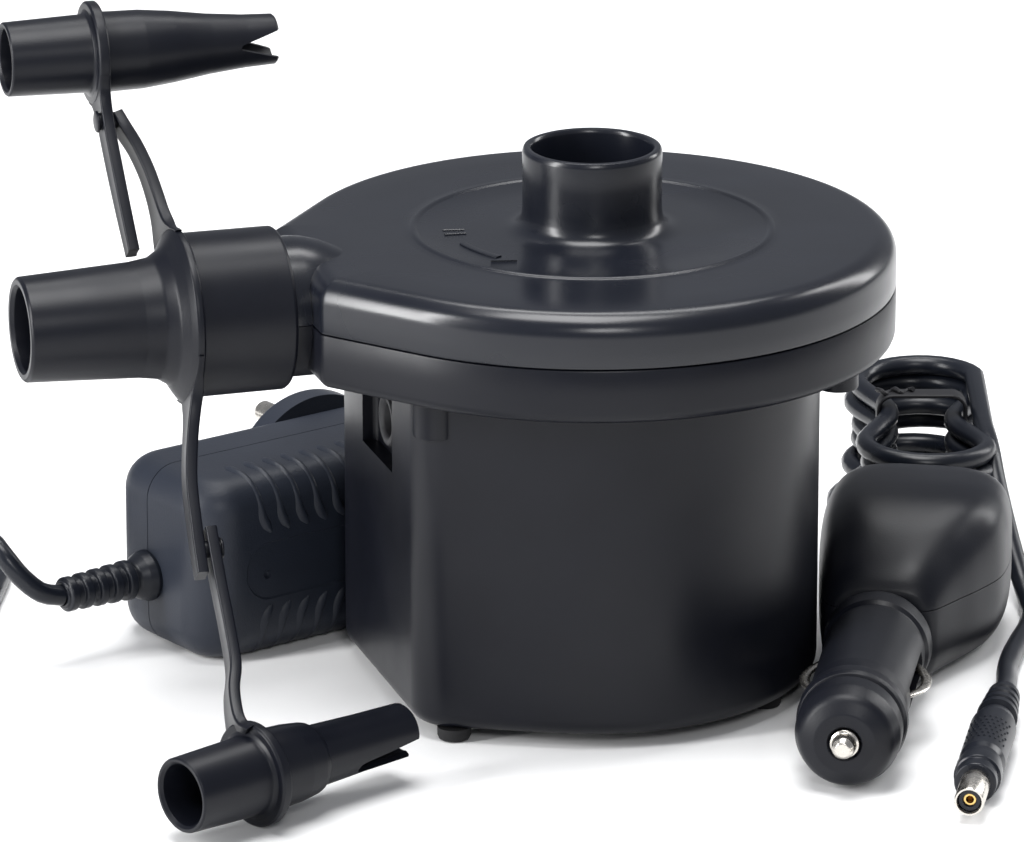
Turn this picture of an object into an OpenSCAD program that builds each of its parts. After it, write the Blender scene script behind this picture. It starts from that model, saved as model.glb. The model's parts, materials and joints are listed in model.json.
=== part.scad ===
// Electric air mattress pump kit: the pump, its linked set of nozzles, a wall
// adapter and a vehicle-socket adapter. Millimetres, +Z up. The origin is the
// centre of the motor housing's underside, on the impeller's axis.

/* [Motor housing] */
// Radius of the round part of the housing
body_r = 43; // [42:0.5:44]
// Height of the housing
body_h = 65.5; // [64:0.5:66]
// Wall of the housing
wall = 2.2; // [1.8:0.1:2.6]
// Distance of the flat panel from the axis
panel_x = 42; // [41:0.5:42.5]
// Radius of the two vertical corners beside the panel
corner_r = 9; // [8:0.5:10]
// Height of the rubber feet
foot_h = 2.5; // [2:0.1:3]

/* [Blower head] */
// Radius of the head
head_r = 57; // [56:0.5:58]
// Height of the seam, which is also the height of the outlet's axis
seam_z = 76; // [75:0.5:77]
// Height of the head's flat top
head_top = 86.2; // [85.5:0.1:87]
// Radius of the rounded upper edge
edge_r = 4.5; // [3:0.5:5]
// Outer radius of the outlet spigot and of the inlet spigot
spigot_r = 13.1; // [13:0.05:13.2]
// Wall of both spigots
spigot_wall = 1.8; // [1.6:0.1:2]
// Height of the inlet's rim
inlet_top = 102; // [100:0.5:104]

/* [Motor and impeller] */
// Radius of the motor can
motor_r = 18; // [17:0.5:18.5]
// Radius of the motor shaft
shaft_r = 1.585; // [1.585:0.005:1.6]
// Radius of the impeller
impeller_r = 45; // [44:0.5:46]
// Number of impeller blades
blades = 9; // [7:1:11]

/* [Nozzles] */
// Radial clearance of the nozzle sleeve on the outlet spigot
sleeve_gap = 0.08; // [0.02:0.01:0.1]
// Outer radius of the sleeve
sleeve_r = 15.2; // [15:0.1:15.6]
// Angle of the two straps from the vertical, seen along the outlet
strap_turn = 39; // [36:1:42]
// Thickness of a strap
strap_t = 2.2; // [2:0.1:2.6]
// Radius of the pegs that link the straps
peg_r = 1.6; // [1.4:0.1:1.8]

/* [Wall adapter] */
// Length, depth and height of the case
ac_size = [68, 33, 36];
// Radius of the case's long edges
ac_edge = 6; // [4:0.5:8]
// Angle of the case from the outlet's axis
ac_turn = 20; // [17:0.5:20]
// Spacing of the mains pins
pin_gap = 19; // [19:0.1:19.2]

/* [Vehicle adapter] */
// Radius of the plug barrel
plug_r = 9.6; // [9.4:0.1:10]
// Width, length and height of the housing
house = [36, 44, 32];
// Angle of the plug's axis from +X
car_turn = 64; // [62:1:66]

/* [Cords] */
// Diameter of both leads
cord_d = 4; // [3.9:0.1:4.1]
// Outer radius of the low-voltage plug barrels
dc_r = 2.75; // [2.7:0.05:2.8]

/* [Hidden] */
floor_z = -foot_h;
outlet_end = -76;
outlet_flat = -58;
neck_y = 19;
head_z = body_h;
sleeve_in = -61;
sleeve_out = -79;
nozzle_tip = -110;
passage_r = 7.8;
// Distances along the straps of the two pegs and the upper ring, and the planes that the straps lie in
up_peg = 40;
up_ring = 54;
low_peg = 46;
up_arm_x = -84.3;
up_ring_x = -87;
up_peg_x = -89.3;
low_arm_x = -84.5;
low_ring_x = -81.7;
low_peg_x = -79.4;
lower_ring = [-82, -58.5, 7.2];
lower_turn = 24;
ac_origin = [-70, 21.2, floor_z];
car_origin = [22.5, -80, floor_z];
// Centre of the first lead's coil, which lies on the floor
ac_coil_at = [-129, 118, floor_z];
// Inner radius, outer radius and height of the coil
coil_size = [13, 33.5, 8.4];
// Where the first lead's plug begins, and its turn
ac_plug_at = [-162, 98, floor_z];
ac_plug_turn = 270;
// Where the second lead's plug begins, and its turn
car_plug_at = [67, -45.5, floor_z];
car_plug_turn = 243;
// Middle, turn and size of the second lead's hank
hank_at = [87, 56, floor_z];
hank_turn = 73;
hank = [62, 28, 30.5];
// How much wider and longer the lowest turn is, and its height
hank_foot = [8, 4.4];
// Half widths at the tie, of the upper turns and of the lowest one
hank_waist = [8.5, 13.2];
// The two leads' routes, point by point
ac_route = [[-95.43, 32.59, 12], [-99.6, 31.5, 13.4], [-103.4, 31.9, 16.8], [-106.2, 33.8, 20.6],
    [-107.6, 37.4, 22.4], [-107.9, 42, 20.4], [-107.4, 47.4, 14.4], [-106.2, 53.4, 7.4],
    [-104.2, 60.4, 1.8], [-101.6, 67.6, -0.4], [-98.6, 75, -0.5], [-95.2, 84, -0.5], [-92.9, 94, -0.5],
    [-92.8, 104, -0.5], [-93.9, 113, -0.5], [-94.6, 122, -0.5]];
ac_tail = [[-161, 118, 3.5], [-161.4, 111, 2.6], [-161.8, 104, 1.9], [-162, 98, 2]];
car_feed = [[65.8, 21.3, 9.5], [65.9, 28, 6.5], [65.7, 35.3, 2.5], [66.7, 44.4, -0.5]];
car_route = [[96.7, 46.8, 23.5], [94.6, 37.5, 22], [93, 28.5, 16.5], [92.6, 20, 8.5], [92.5, 12, 1.8],
    [91, 4, -0.5], [87.6, -4, -0.5], [83, -11.5, -0.5], [78.5, -19, -0.5], [74.5, -27, -0.3],
    [71, -36, 0.7], [67, -45.5, 2]];
$fn = 96;

// Helpers ------------------------------------------------------------------

function unit(v) = v / norm(v);
function tangent(p, i) = unit(p[min(i + 1, len(p) - 1)] - p[max(i - 1, 0)]);
// One ring of a swept tube: sides points round point i of the route
function ring(p, i, r, sides) =
    let (t = tangent(p, i), s = unit(cross(t, [0.02, 0.01, 1])), u = cross(s, t))
    [for (k = [0:sides - 1]) p[i] + r * (cos(360 * k / sides) * s + sin(360 * k / sides) * u)];

// A tube of radius r along the route p
module sweep(p, r, sides = 8) {
    rings = len(p);
    last = (rings - 1) * sides;
    walls = [for (i = [0:rings - 2], k = [0:sides - 1])
        let (a = i * sides + k, b = i * sides + (k + 1) % sides) [a, b, b + sides, a + sides]];
    polyhedron(
        points = [for (i = [0:rings - 1]) each ring(p, i, r, sides)],
        faces = concat([[for (k = [sides - 1:-1:0]) k]], walls,
            [[for (k = [0:sides - 1]) last + k]]));
}

// A ring with a square section, from z0 up
module tube(r_out, r_in, h) {
    difference() {
        cylinder(r = r_out, h = h);
        translate([0, 0, -1]) cylinder(r = r_in, h = h + 2);
    }
}

// A cylinder that lies along +X
module rod(r, l) rotate([0, 90, 0]) cylinder(r = r, h = l);

// A block with rounded vertical edges, from its corner
module block(size, r) {
    translate([r, 0, 0]) cube([size[0] - 2 * r, size[1], size[2]]);
    translate([0, r, 0]) cube([size[0], size[1] - 2 * r, size[2]]);
    for (x = [r, size[0] - r], y = [r, size[1] - r])
        translate([x, y, 0]) cylinder(r = r, h = size[2], $fn = 48);
}

// A flat strap in the plane across X, from point a to point b
module strap(a, b, w_a, w_b, x_a, x_b) {
    hull() {
        translate([x_a - strap_t / 2, a[0], a[1]]) rod(w_a / 2, strap_t, $fn = 24);
        translate([x_b - strap_t / 2, b[0], b[1]]) rod(w_b / 2, strap_t, $fn = 24);
    }
}

// Pump housing ---------------------------------------------------------------

// Plan of the housing, drawn smaller by inset
module body_plan(inset = 0) {
    cx = panel_x - corner_r;
    cy = 21.5;
    reach = norm([cx, cy]);
    a = atan2(cy, -cx) - acos((body_r - corner_r) / reach);
    r1 = body_r - inset;
    r2 = corner_r - inset;
    circle(r = r1, $fn = 144);
    for (s = [-1, 1]) {
        translate([-cx, s * cy]) circle(r = r2, $fn = 48);
        polygon([[0, 0], [r1 * cos(a), s * r1 * sin(a)],
            [r2 * cos(a) - cx, s * (cy + r2 * sin(a))], [-cx, s * cy]]);
    }
    translate([inset - panel_x, -cy]) square([panel_x, 2 * cy]);
}

jack_z = 52;
boss_at = [214, 334, 94];
boss_ring = 46.5;
boss_r = 4;
boss_z = 57;
post_at = [45, 135, 225, 315];
post_ring = 34;
post_r = 3.6;

module at_ring(r, angles) for (a = angles) rotate([0, 0, a]) translate([r, 0, 0]) children();

module body_shell() {
    color([0.09, 0.1, 0.12]) difference() {
        union() {
            difference() {
                linear_extrude(body_h) body_plan();
                translate([0, 0, 2.4]) linear_extrude(body_h) body_plan(wall);
            }
            at_ring(post_ring, post_at) translate([0, 0, 1])
                cylinder(r = post_r, h = body_h - 1.2, $fn = 48);
            // Inner wall of the socket recess
            translate([-40.5, -12, 43]) cube([6, 24, body_h - 43]);
            // Ring that carries the motor's lower end
            tube(motor_r + 2.6, motor_r + 0.6, 12, $fn = 72);
        }
        translate([-panel_x - 1, -10, 45]) cube([4, 20, body_h]);
        translate([-panel_x - 1, 0, jack_z]) rod(5.05, 10, $fn = 48);
        at_ring(post_ring, post_at) translate([0, 0, -1]) cylinder(r = 1.6, h = body_h + 2, $fn = 32);
        at_ring(post_ring, post_at) translate([0, 0, -1]) cylinder(r = 3, h = 4, $fn = 32);
        at_ring(boss_ring, boss_at) translate([0, 0, boss_z - 1])
            cylinder(r = boss_r + 0.6, h = body_h, $fn = 48);
        // Two ways through the ring for the motor's leads
        translate([-23, 0.2, 2.4]) cube([6, 5.4, 12]);
        translate([-15, -18.6, 2.4]) cube([8.5, 4.6, 12]);
        // Cooling slots in the base
        for (y = [-9:3:9]) translate([-8, y - 0.7, -1]) cube([16, 1.4, 4]);
    }
}

module rubber_feet() {
    color([0.05, 0.05, 0.06]) for (s = [-1, 1]) {
        translate([-35, s * 26.5, floor_z]) cylinder(r = 3.2, h = foot_h, $fn = 48);
        translate([26, s * 26.5, floor_z]) cylinder(r = 3.2, h = foot_h, $fn = 48);
    }
}

// Plan of the head with its neck
module head_plan(r) {
    half = atan2(neck_y, -outlet_flat);
    off = acos(r / norm([outlet_flat, neck_y]));
    circle(r = r, $fn = 180);
    for (s = [-1, 1])
        polygon([[0, 0], [outlet_flat, 0], [outlet_flat, s * neck_y],
            [-r * cos(half + off), s * r * sin(half + off)]]);
}

module lower_volute() {
    color([0.1, 0.11, 0.13]) difference() {
        union() {
            difference() {
                translate([0, 0, head_z]) linear_extrude(seam_z - head_z) head_plan(head_r);
                translate([0, 0, head_z + 2]) cylinder(r = head_r - 2.4, h = seam_z);
            }
            intersection() {
                translate([outlet_end, 0, seam_z]) rod(spigot_r, 30);
                translate([outlet_end, -20, seam_z - 20]) cube([40, 40, 20]);
            }
            at_ring(boss_ring, boss_at) translate([0, 0, boss_z])
                cylinder(r = boss_r, h = head_z - boss_z + 1, $fn = 48);
            translate([0, 0, body_h - 3]) tube(13, 8.2, 4, $fn = 72);
        }
        translate([outlet_end - 1, 0, seam_z]) rod(spigot_r - spigot_wall, 31.6, $fn = 72);
        translate([0, 0, 40]) cylinder(r = 8, h = 40, $fn = 72);
        at_ring(boss_ring, boss_at) translate([0, 0, boss_z - 1]) cylinder(r = 1.5, h = 40, $fn = 32);
        at_ring(boss_ring, boss_at) translate([0, 0, boss_z - 1]) cylinder(r = 2.9, h = 3, $fn = 32);
        at_ring(post_ring, post_at) translate([0, 0, head_z - 1]) cylinder(r = 1.4, h = 4, $fn = 32);
        for (a = [0, 180]) rotate([0, 0, a]) translate([10.5, 0, 50]) cylinder(r = 1.5, h = 30, $fn = 32);
    }
}

// The neck's share of the head's plan, its sides just inside the round wall
module neck_plan() {
    half = atan2(neck_y, -outlet_flat);
    r = head_r - 0.3;
    off = acos(r / norm([outlet_flat, neck_y]));
    polygon([[0, 0], [-r * cos(half + off), r * sin(half + off)], [outlet_flat, neck_y],
        [outlet_flat, -neck_y], [-r * cos(half + off), -r * sin(half + off)]]);
}

module upper_cover() {
    base = seam_z + 0.1;
    color([0.07, 0.08, 0.1]) difference() {
        union() {
            difference() {
                union() {
                    rotate_extrude($fn = 180) polygon(concat(
                        [[0, base], [head_r, base]],
                        [for (a = [0:15:90]) [head_r - edge_r * (1 - cos(a)),
                            head_top - edge_r * (1 - sin(a))]],
                        [[0, head_top]]));
                    translate([0, 0, base]) linear_extrude(head_top - edge_r - base - 0.3) neck_plan();
                }
                translate([0, 0, seam_z - 1]) cylinder(r = head_r - 2.4, h = head_top - seam_z - 1.2);
            }
            intersection() {
                union() {
                    translate([outlet_end, 0, seam_z]) rod(spigot_r, 18.1);
                    translate([outlet_end + 18, 0, seam_z]) rotate([0, 90, 0])
                        cylinder(r1 = spigot_r, r2 = 9.6, h = 10);
                }
                translate([outlet_end - 1, -20, base]) cube([40, 40, 20]);
            }
            translate([0, 0, head_top - 1.5]) cylinder(r = spigot_r, h = inlet_top - head_top + 1.5);
            translate([0, 0, head_top - 1])
                cylinder(r1 = spigot_r + 3, r2 = spigot_r - 0.4, h = 3.2, $fn = 96);
            translate([0, 0, head_top - 1]) tube(34.2, 32.8, 1.4);
            at_ring(boss_ring, boss_at) translate([0, 0, base]) cylinder(r = 3, h = 8.6, $fn = 32);
        }
        translate([outlet_end - 1, 0, seam_z]) rod(spigot_r - spigot_wall, 19, $fn = 72);
        intersection() {
            translate([outlet_end - 1, 0, seam_z]) rod(spigot_r - spigot_wall, 46, $fn = 72);
            translate([outlet_end - 2, -20, seam_z - 1]) cube([60, 40, head_top - seam_z - 0.6]);
        }
        translate([0, 0, seam_z + 2]) cylinder(r = spigot_r - spigot_wall, h = inlet_top, $fn = 96);
        at_ring(boss_ring, boss_at) translate([0, 0, seam_z]) cylinder(r = 1.2, h = 6, $fn = 32);
    }
}

module inlet_grille() {
    inner = spigot_r - spigot_wall - 0.02;
    color([0.06, 0.06, 0.07]) translate([0, 0, 86]) difference() {
        union() {
            tube(inner, inner - 1.2, 1.8, $fn = 96);
            for (a = [0, 45, 90, 135]) rotate([0, 0, a]) translate([-inner + 0.5, -0.6, 0])
                cube([2 * inner - 1, 1.2, 1.8]);
            cylinder(r = 3, h = 1.8, $fn = 32);
        }
        translate([0, 0, -1]) cylinder(r = 1.2, h = 4, $fn = 32);
    }
}

module screw(head_r1, head_h, shank_r, l) {
    difference() {
        cylinder(r = head_r1, h = head_h, $fn = 32);
        for (a = [0, 90]) rotate([0, 0, a]) translate([-head_r1 * 0.6, -0.35, -0.1])
            cube([head_r1 * 1.2, 0.7, 0.9]);
    }
    cylinder(r = shank_r, h = l, $fn = 32);
}

module cover_screws() {
    color([0.6, 0.6, 0.62]) at_ring(boss_ring, boss_at) translate([0, 0, boss_z + 0.4])
        screw(2.6, 1.6, 1.2, 23.5);
}

module body_screws() {
    color([0.6, 0.6, 0.62]) at_ring(post_ring, post_at) translate([0, 0, 0.8]) screw(2.7, 2.2, 1.4, 66);
}

// Motor ------------------------------------------------------------------------

motor_z = 8;
motor_top = 61;

module motor_can() {
    color([0.62, 0.63, 0.65]) difference() {
        union() {
            translate([0, 0, motor_z + 3]) cylinder(r = motor_r, h = motor_top - motor_z - 3, $fn = 96);
            translate([0, 0, motor_top]) cylinder(r = 6.4, h = 2, $fn = 48);
        }
        translate([0, 0, motor_z]) cylinder(r = motor_r - 1.2, h = motor_top - motor_z - 1.5, $fn = 96);
        translate([0, 0, motor_top - 2]) cylinder(r = 4, h = 6, $fn = 48);
        for (a = [0, 180]) rotate([0, 0, a]) translate([10.5, 0, motor_top - 3])
            cylinder(r = 1.25, h = 6, $fn = 32);
        for (a = [40:60:340]) rotate([0, 0, a]) translate([motor_r - 3, -3, 46]) cube([6, 6, 9]);
    }
}

module motor_end_cap() {
    color([0.13, 0.13, 0.14]) difference() {
        union() {
            translate([0, 0, motor_z + 0.5]) cylinder(r = motor_r, h = 2.4, $fn = 96);
            translate([0, 0, motor_z + 2.8]) cylinder(r = motor_r - 1.25, h = 3, $fn = 96);
            translate([0, 0, motor_z - 1.5]) cylinder(r = 6.4, h = 3, $fn = 48);
        }
        translate([0, 0, motor_z + 1]) cylinder(r = 4, h = 9, $fn = 48);
        translate([0, 0, motor_z - 3]) cylinder(r = 2, h = 9, $fn = 48);
        for (s = [-1, 1]) translate([s * 13 - 1, -2.2, motor_z - 3]) cube([2, 4.4, 12]);
    }
}

module motor_bushes() {
    color([0.72, 0.55, 0.3]) {
        translate([0, 0, motor_z + 1.05]) tube(3.95, shaft_r + 0.05, 5, $fn = 48);
        translate([0, 0, motor_top - 1.9]) tube(3.95, shaft_r + 0.05, 4.5, $fn = 48);
    }
}

module motor_magnets() {
    color([0.2, 0.2, 0.21]) for (a = [0, 180]) rotate([0, 0, a]) difference() {
        translate([0, 0, 22]) tube(motor_r - 1.25, motor_r - 4.6, 32, $fn = 96);
        for (b = [-1, 1]) rotate([0, 0, b * 65]) translate([-30, b * 30 - 30, 20]) cube([60, 60, 40]);
    }
}

module motor_brushes() {
    color([0.3, 0.28, 0.26]) for (s = [-1, 1])
        translate([s * 8.2 - 3, -2.2, motor_z + 7.5]) cube([6, 4.4, 4]);
}

module motor_terminals() {
    color([0.75, 0.72, 0.62]) for (s = [-1, 1]) difference() {
        translate([s * 13 - 0.4, -2, motor_z - 2]) cube([0.8, 4, 10]);
        translate([s * 13 - 2, 0, motor_z - 0.6]) rod(0.8, 4, $fn = 24);
    }
}

module motor_screws() {
    color([0.6, 0.6, 0.62]) for (a = [0, 180]) rotate([0, 0, a])
        translate([10.5, 0, head_z + 4.2]) mirror([0, 0, 1]) screw(2.4, 1.6, 1.2, 9);
}

module motor_damper() {
    color([0.12, 0.12, 0.12]) translate([0, 0, 12.1]) tube(motor_r + 2.2, motor_r + 0.05, 5, $fn = 96);
}

module motor_shaft() {
    color([0.7, 0.71, 0.73]) translate([0, 0, motor_z + 1.2]) cylinder(r = shaft_r, h = 72.5, $fn = 48);
}

module commutator() {
    color([0.75, 0.45, 0.25]) difference() {
        translate([0, 0, motor_z + 6.6]) tube(4.9, shaft_r - 0.01, 7, $fn = 48);
        for (a = [0:72:359]) rotate([0, 0, a]) translate([4.3, -0.2, motor_z + 6]) cube([2, 0.4, 6]);
    }
}

module armature_core() {
    color([0.45, 0.46, 0.48]) translate([0, 0, 26]) difference() {
        cylinder(r = 12.8, h = 24, $fn = 72);
        translate([0, 0, -1]) cylinder(r = shaft_r - 0.01, h = 30, $fn = 48);
        for (a = [0:72:359]) rotate([0, 0, a]) {
            translate([9, 0, -1]) cylinder(r = 3, h = 26, $fn = 32);
            translate([9, -0.9, -1]) cube([6, 1.8, 26]);
        }
    }
}

module armature_windings() {
    color([0.72, 0.36, 0.2]) for (z = [22.5, 50.1]) translate([0, 0, z]) tube(11.2, 3.4, 3.3, $fn = 72);
    color([0.72, 0.36, 0.2]) for (a = [0:72:359]) rotate([0, 0, a])
        translate([9, 0, 25.5]) cylinder(r = 2.6, h = 25, $fn = 32);
}

module impeller() {
    z0 = 70;
    color([0.78, 0.8, 0.82]) {
        translate([0, 0, z0]) tube(impeller_r, 5.5, 1.4, $fn = 144);
        translate([0, 0, z0 - 0.6]) tube(6, shaft_r - 0.01, 10, $fn = 64);
        for (k = [0:blades - 1]) rotate([0, 0, 360 * k / blades]) intersection() {
            translate([18, 14, z0 + 1]) tube(24, 22.6, 9.4, $fn = 96);
            translate([10, -20, z0]) cube([40, 30, 12]);
            translate([0, 0, z0]) tube(impeller_r - 1, 13, 12, $fn = 96);
        }
    }
}

// Socket -----------------------------------------------------------------------

module jack_housing() {
    color([0.05, 0.05, 0.05]) difference() {
        union() {
            translate([-40.4, 0, jack_z]) rod(5, 9.5, $fn = 48);
            translate([-34.3, -5.6, jack_z - 5.6]) cube([7, 11.2, 11.2]);
        }
        translate([-42, 0, jack_z]) rod(dc_r + 0.15, 12, $fn = 48);
        translate([-31, 0, jack_z]) rod(1.01, 5, $fn = 32);
        translate([-32, -0.8, jack_z + 2]) cube([4, 1.6, 5]);
    }
}

module jack_pin() {
    color([0.85, 0.68, 0.35]) {
        translate([-38, 0, jack_z]) rod(1, 14, $fn = 32);
        translate([-27.3, -2, jack_z - 0.3]) cube([4.5, 4, 0.6]);
    }
}

module jack_contact() {
    color([0.8, 0.78, 0.7]) {
        translate([-31.9, -0.7, jack_z + 3.1]) cube([1, 1.4, 5]);
        translate([-31.9, -0.7, jack_z + 7.6]) cube([9, 1.4, 0.5]);
    }
}

module power_leads() {
    color([0.6, 0.1, 0.1]) sweep([[-22.9, 0, jack_z - 1.3], [-22.6, 2, 46], [-23.5, 8, 36], [-24, 9, 26],
        [-23.5, 7, 14], [-21, 4, 7], [-17, 1, 5.3], [-14.4, 0, 6.4]], 0.8, 6);
    color([0.08, 0.08, 0.08]) sweep([[-22.5, -1, jack_z + 6.4], [-21.4, -4, 55], [-22, -10, 42],
        [-22, -12, 28], [-19, -14, 14], [-12, -16, 7], [0, -15, 5], [9, -9, 5], [14.4, 0, 6.4]], 0.8, 6);
}

// Nozzles ----------------------------------------------------------------------

// Pipe along +X whose radius follows pairs of [x, r], with a bore
module pipe(pairs, bore_pairs) {
    rotate([0, 90, 0]) rotate_extrude($fn = 96) polygon(concat(
        [for (p = pairs) [p[1], p[0]]],
        [for (k = [len(bore_pairs) - 1:-1:0]) [bore_pairs[k][1], bore_pairs[k][0]]]));
}

// A point on the strap's centre line, at distance t from the outlet's axis
function on_strap(t, s) = [s * t * sin(strap_turn), seam_z + s * t * cos(strap_turn)];

module main_nozzle() {
    bore = spigot_r + sleeve_gap;
    up = [[14.5, -80, 8], [22, -80.2, 5.2], [31, -81.6, 4.6], [up_peg, up_arm_x, 5.2]];
    down = [[14.5, -80, 8], [22, -81.6, 5.2], [33, -83.6, 4.8], [51, low_arm_x, 4.4]];
    color([0.08, 0.09, 0.11]) {
        translate([0, 0, seam_z]) pipe(
            [[nozzle_tip, 9.7], [-87, 10.8], [-84.5, 11.4], [-82.5, 12.8], [-81, 15], [-80.3, 16.3],
                [-79, 16.3],
                [-79, sleeve_r], [sleeve_in - 1, sleeve_r], [sleeve_in, sleeve_r - 0.6]],
            [[nozzle_tip, passage_r], [-86, passage_r + 0.9], [-80.5, 11.3], [-77, 11.3], [-77, bore],
                [sleeve_in, bore]]);
        difference() {
            union() {
                for (k = [0:len(up) - 2]) strap(on_strap(up[k][0], 1), on_strap(up[k + 1][0], 1),
                    up[k][2], up[k + 1][2], up[k][1], up[k + 1][1]);
                for (k = [0:len(down) - 2]) strap(on_strap(down[k][0], -1), on_strap(down[k + 1][0], -1),
                    down[k][2], down[k + 1][2], down[k][1], down[k + 1][1]);
            }
            translate([-90, 0, seam_z]) rod(12.6, 20);
        }
        translate([up_peg_x, on_strap(up_peg, 1)[0], on_strap(up_peg, 1)[1]]) peg();
        translate([low_peg_x, on_strap(low_peg, -1)[0], on_strap(low_peg, -1)[1]]) mirror([1, 0, 0]) peg();
    }
}

// A peg along +X from its head, for a strap of thickness strap_t
module peg() {
    rod(peg_r, strap_t + 2.2, $fn = 48);
    rod(peg_r + 0.8, 0.9, $fn = 48);
}

// A small nozzle along +X, its ring at the origin. The outline is the body in front of the ring
module small_nozzle(outline, bore_outline) {
    pipe(concat([[-17, 6.9], [-1.1, 7.4], [-1.1, 9.7], [1.1, 9.7]], outline),
        concat([[-17, 5.7], [2, 5.6]], bore_outline));
}

module upper_nozzle() {
    at = [up_ring_x, up_ring * sin(strap_turn), seam_z + up_ring * cos(strap_turn)];
    color([0.08, 0.09, 0.11]) difference() {
        union() {
            translate(at) small_nozzle(
                [[1.1, 7.2], [4, 7.5], [9, 7.4], [15, 6.7], [22, 5.6], [29, 4.9], [35, 4.7]],
                [[8, 5.5], [22, 3.9], [35, 3.7]]);
            strap(on_strap(up_ring - 8.6, 1), on_strap(up_peg, 1), 7, 5.6, up_ring_x, up_ring_x);
            strap(on_strap(up_peg, 1), on_strap(13.4, 1), 5.6, 3.4, up_ring_x, up_ring_x + 0.6);
        }
        translate([up_ring_x - 3, on_strap(up_peg, 1)[0], on_strap(up_peg, 1)[1]])
            rod(peg_r + 0.06, 6, $fn = 48);
        // The forked tip
        translate(at) hull() {
            translate([38, -8, -3.4]) cube([1, 16, 6.8]);
            translate([27, -8, -0.5]) cube([1, 16, 1]);
        }
    }
}

module lower_nozzle() {
    at = [lower_ring[0], lower_ring[1], lower_ring[2]];
    arm = [-53, 14.3];
    bend = [-44.5, 22.5];
    color([0.08, 0.09, 0.11]) difference() {
        union() {
            translate(at) rotate([0, 0, lower_turn]) small_nozzle(
                [[1.1, 7.2], [4, 7.4], [8, 7.2], [12, 6.6], [13, 5.6], [24, 5.2], [35, 5]],
                [[8, 5.2], [13, 4.2], [35, 3.9]]);
            strap(arm, bend, 6.6, 5.4, -84.4, low_ring_x);
            strap(bend, on_strap(low_peg - 2.2, -1), 5.4, 5.4, low_ring_x, low_ring_x);
        }
        translate([low_ring_x - 3, on_strap(low_peg, -1)[0], on_strap(low_peg, -1)[1]])
            rod(peg_r + 0.06, 6, $fn = 48);
        translate(at) rotate([0, 0, lower_turn]) rotate([35, 0, 0]) hull() {
            translate([37, -8, -3]) cube([1, 16, 6]);
            translate([21, -8, -1.6]) cube([1, 16, 3.2]);
        }
    }
}

// Wall adapter -----------------------------------------------------------------

module ac_place() translate(ac_origin) rotate([0, 0, ac_turn]) children();

// Middle and radius of the mains plug's round plate, radius of its pins, depth of the case's
// parting line, and height of the lead's bushing
nose_at = [49, 20.5];
nose_r = 17.5;
pin_r = 2.2;
ac_seam = 19.4;
relief_z = 14.5;
ac_wall = 2;

// Outline of the case in its Y-Z section, with rounded long edges
module ac_section(inset) {
    d = ac_size[1];
    h = ac_size[2];
    r = ac_edge - inset;
    translate([ac_edge, inset]) square([d - 2 * ac_edge, h - 2 * inset]);
    translate([inset, ac_edge]) square([d - 2 * inset, h - 2 * ac_edge]);
    for (y = [ac_edge, d - ac_edge], z = [ac_edge, h - ac_edge]) translate([y, z]) circle(r = r, $fn = 48);
}

// A slice of the hollow case, from y0 to y1
module ac_shell(y0, y1) {
    difference() {
        translate([0, 0, 0]) rotate([90, 0, 90]) linear_extrude(ac_size[0]) ac_section(0);
        translate([ac_wall, 0, 0]) rotate([90, 0, 90])
            linear_extrude(ac_size[0] - 2 * ac_wall) ac_section(ac_wall);
        translate([-1, -20, -1]) cube([100, 20 + y0, 60]);
        translate([-1, y1, -1]) cube([100, 40, 60]);
        translate([-1, ac_seam, relief_z]) rod(3.4, 10, $fn = 48);
    }
}

module ac_case_front() {
    color([0.1, 0.11, 0.13]) ac_place() difference() {
        union() {
            ac_shell(0, ac_seam - 0.05);
            for (x = [10, 58], z = [6, 30]) translate([x, 1.5, z]) rotate([-90, 0, 0])
                cylinder(r = 2.2, h = ac_seam - 1.6, $fn = 32);
        }
        // Ribbed grip along the upper and the lower edge
        for (k = [0:10]) translate([11.5 + 4.3 * k, -0.1, 0]) {
            translate([0, 0, ac_size[2] - 11]) cube([2.1, 0.7, 8]);
            translate([0, 0, 3]) cube([2.1, 0.7, 8]);
        }
        translate([9, -0.1, 13]) cube([50, 0.5, 9]);
        for (x = [10, 58], z = [6, 30]) translate([x, 6, z]) rotate([-90, 0, 0])
            cylinder(r = 1, h = 15, $fn = 32);
    }
}

module ac_case_back() {
    color([0.1, 0.11, 0.13]) ac_place() difference() {
        union() {
            ac_shell(ac_seam + 0.05, ac_size[1]);
            for (x = [10, 58], z = [6, 30]) translate([x, ac_seam + 0.1, z]) rotate([-90, 0, 0])
                cylinder(r = 2.6, h = ac_size[1] - ac_seam - 1, $fn = 32);
            translate([nose_at[0], ac_size[1] - 1, nose_at[1]]) rotate([-90, 0, 0])
                cylinder(r = nose_r, h = 5, $fn = 96);
        }
        for (x = [10, 58], z = [6, 30]) {
            translate([x, ac_seam, z]) rotate([-90, 0, 0]) cylinder(r = 1.2, h = 20, $fn = 32);
            translate([x, 29, z]) rotate([-90, 0, 0]) cylinder(r = 2.1, h = 20, $fn = 32);
        }
        for (s = [-1, 1]) translate([nose_at[0], 25, nose_at[1] + s * pin_gap / 2]) rotate([-90, 0, 0])
            cylinder(r = pin_r + 0.02, h = 20, $fn = 48);
    }
}

module ac_plug_pins() {
    color([0.75, 0.75, 0.76]) ac_place() for (s = [-1, 1])
        translate([nose_at[0], 30, nose_at[1] + s * pin_gap / 2]) rotate([-90, 0, 0]) {
            cylinder(r = pin_r, h = 20, $fn = 48);
            translate([0, 0, 20]) cylinder(r1 = pin_r, r2 = pin_r - 0.9, h = 1.5, $fn = 48);
        }
}

module ac_case_screws() {
    color([0.6, 0.6, 0.62]) ac_place() for (x = [10, 58], z = [6, 30])
        translate([x, 31.2, z]) rotate([90, 0, 0]) screw(1.9, 1.4, 0.95, 18);
}

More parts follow.
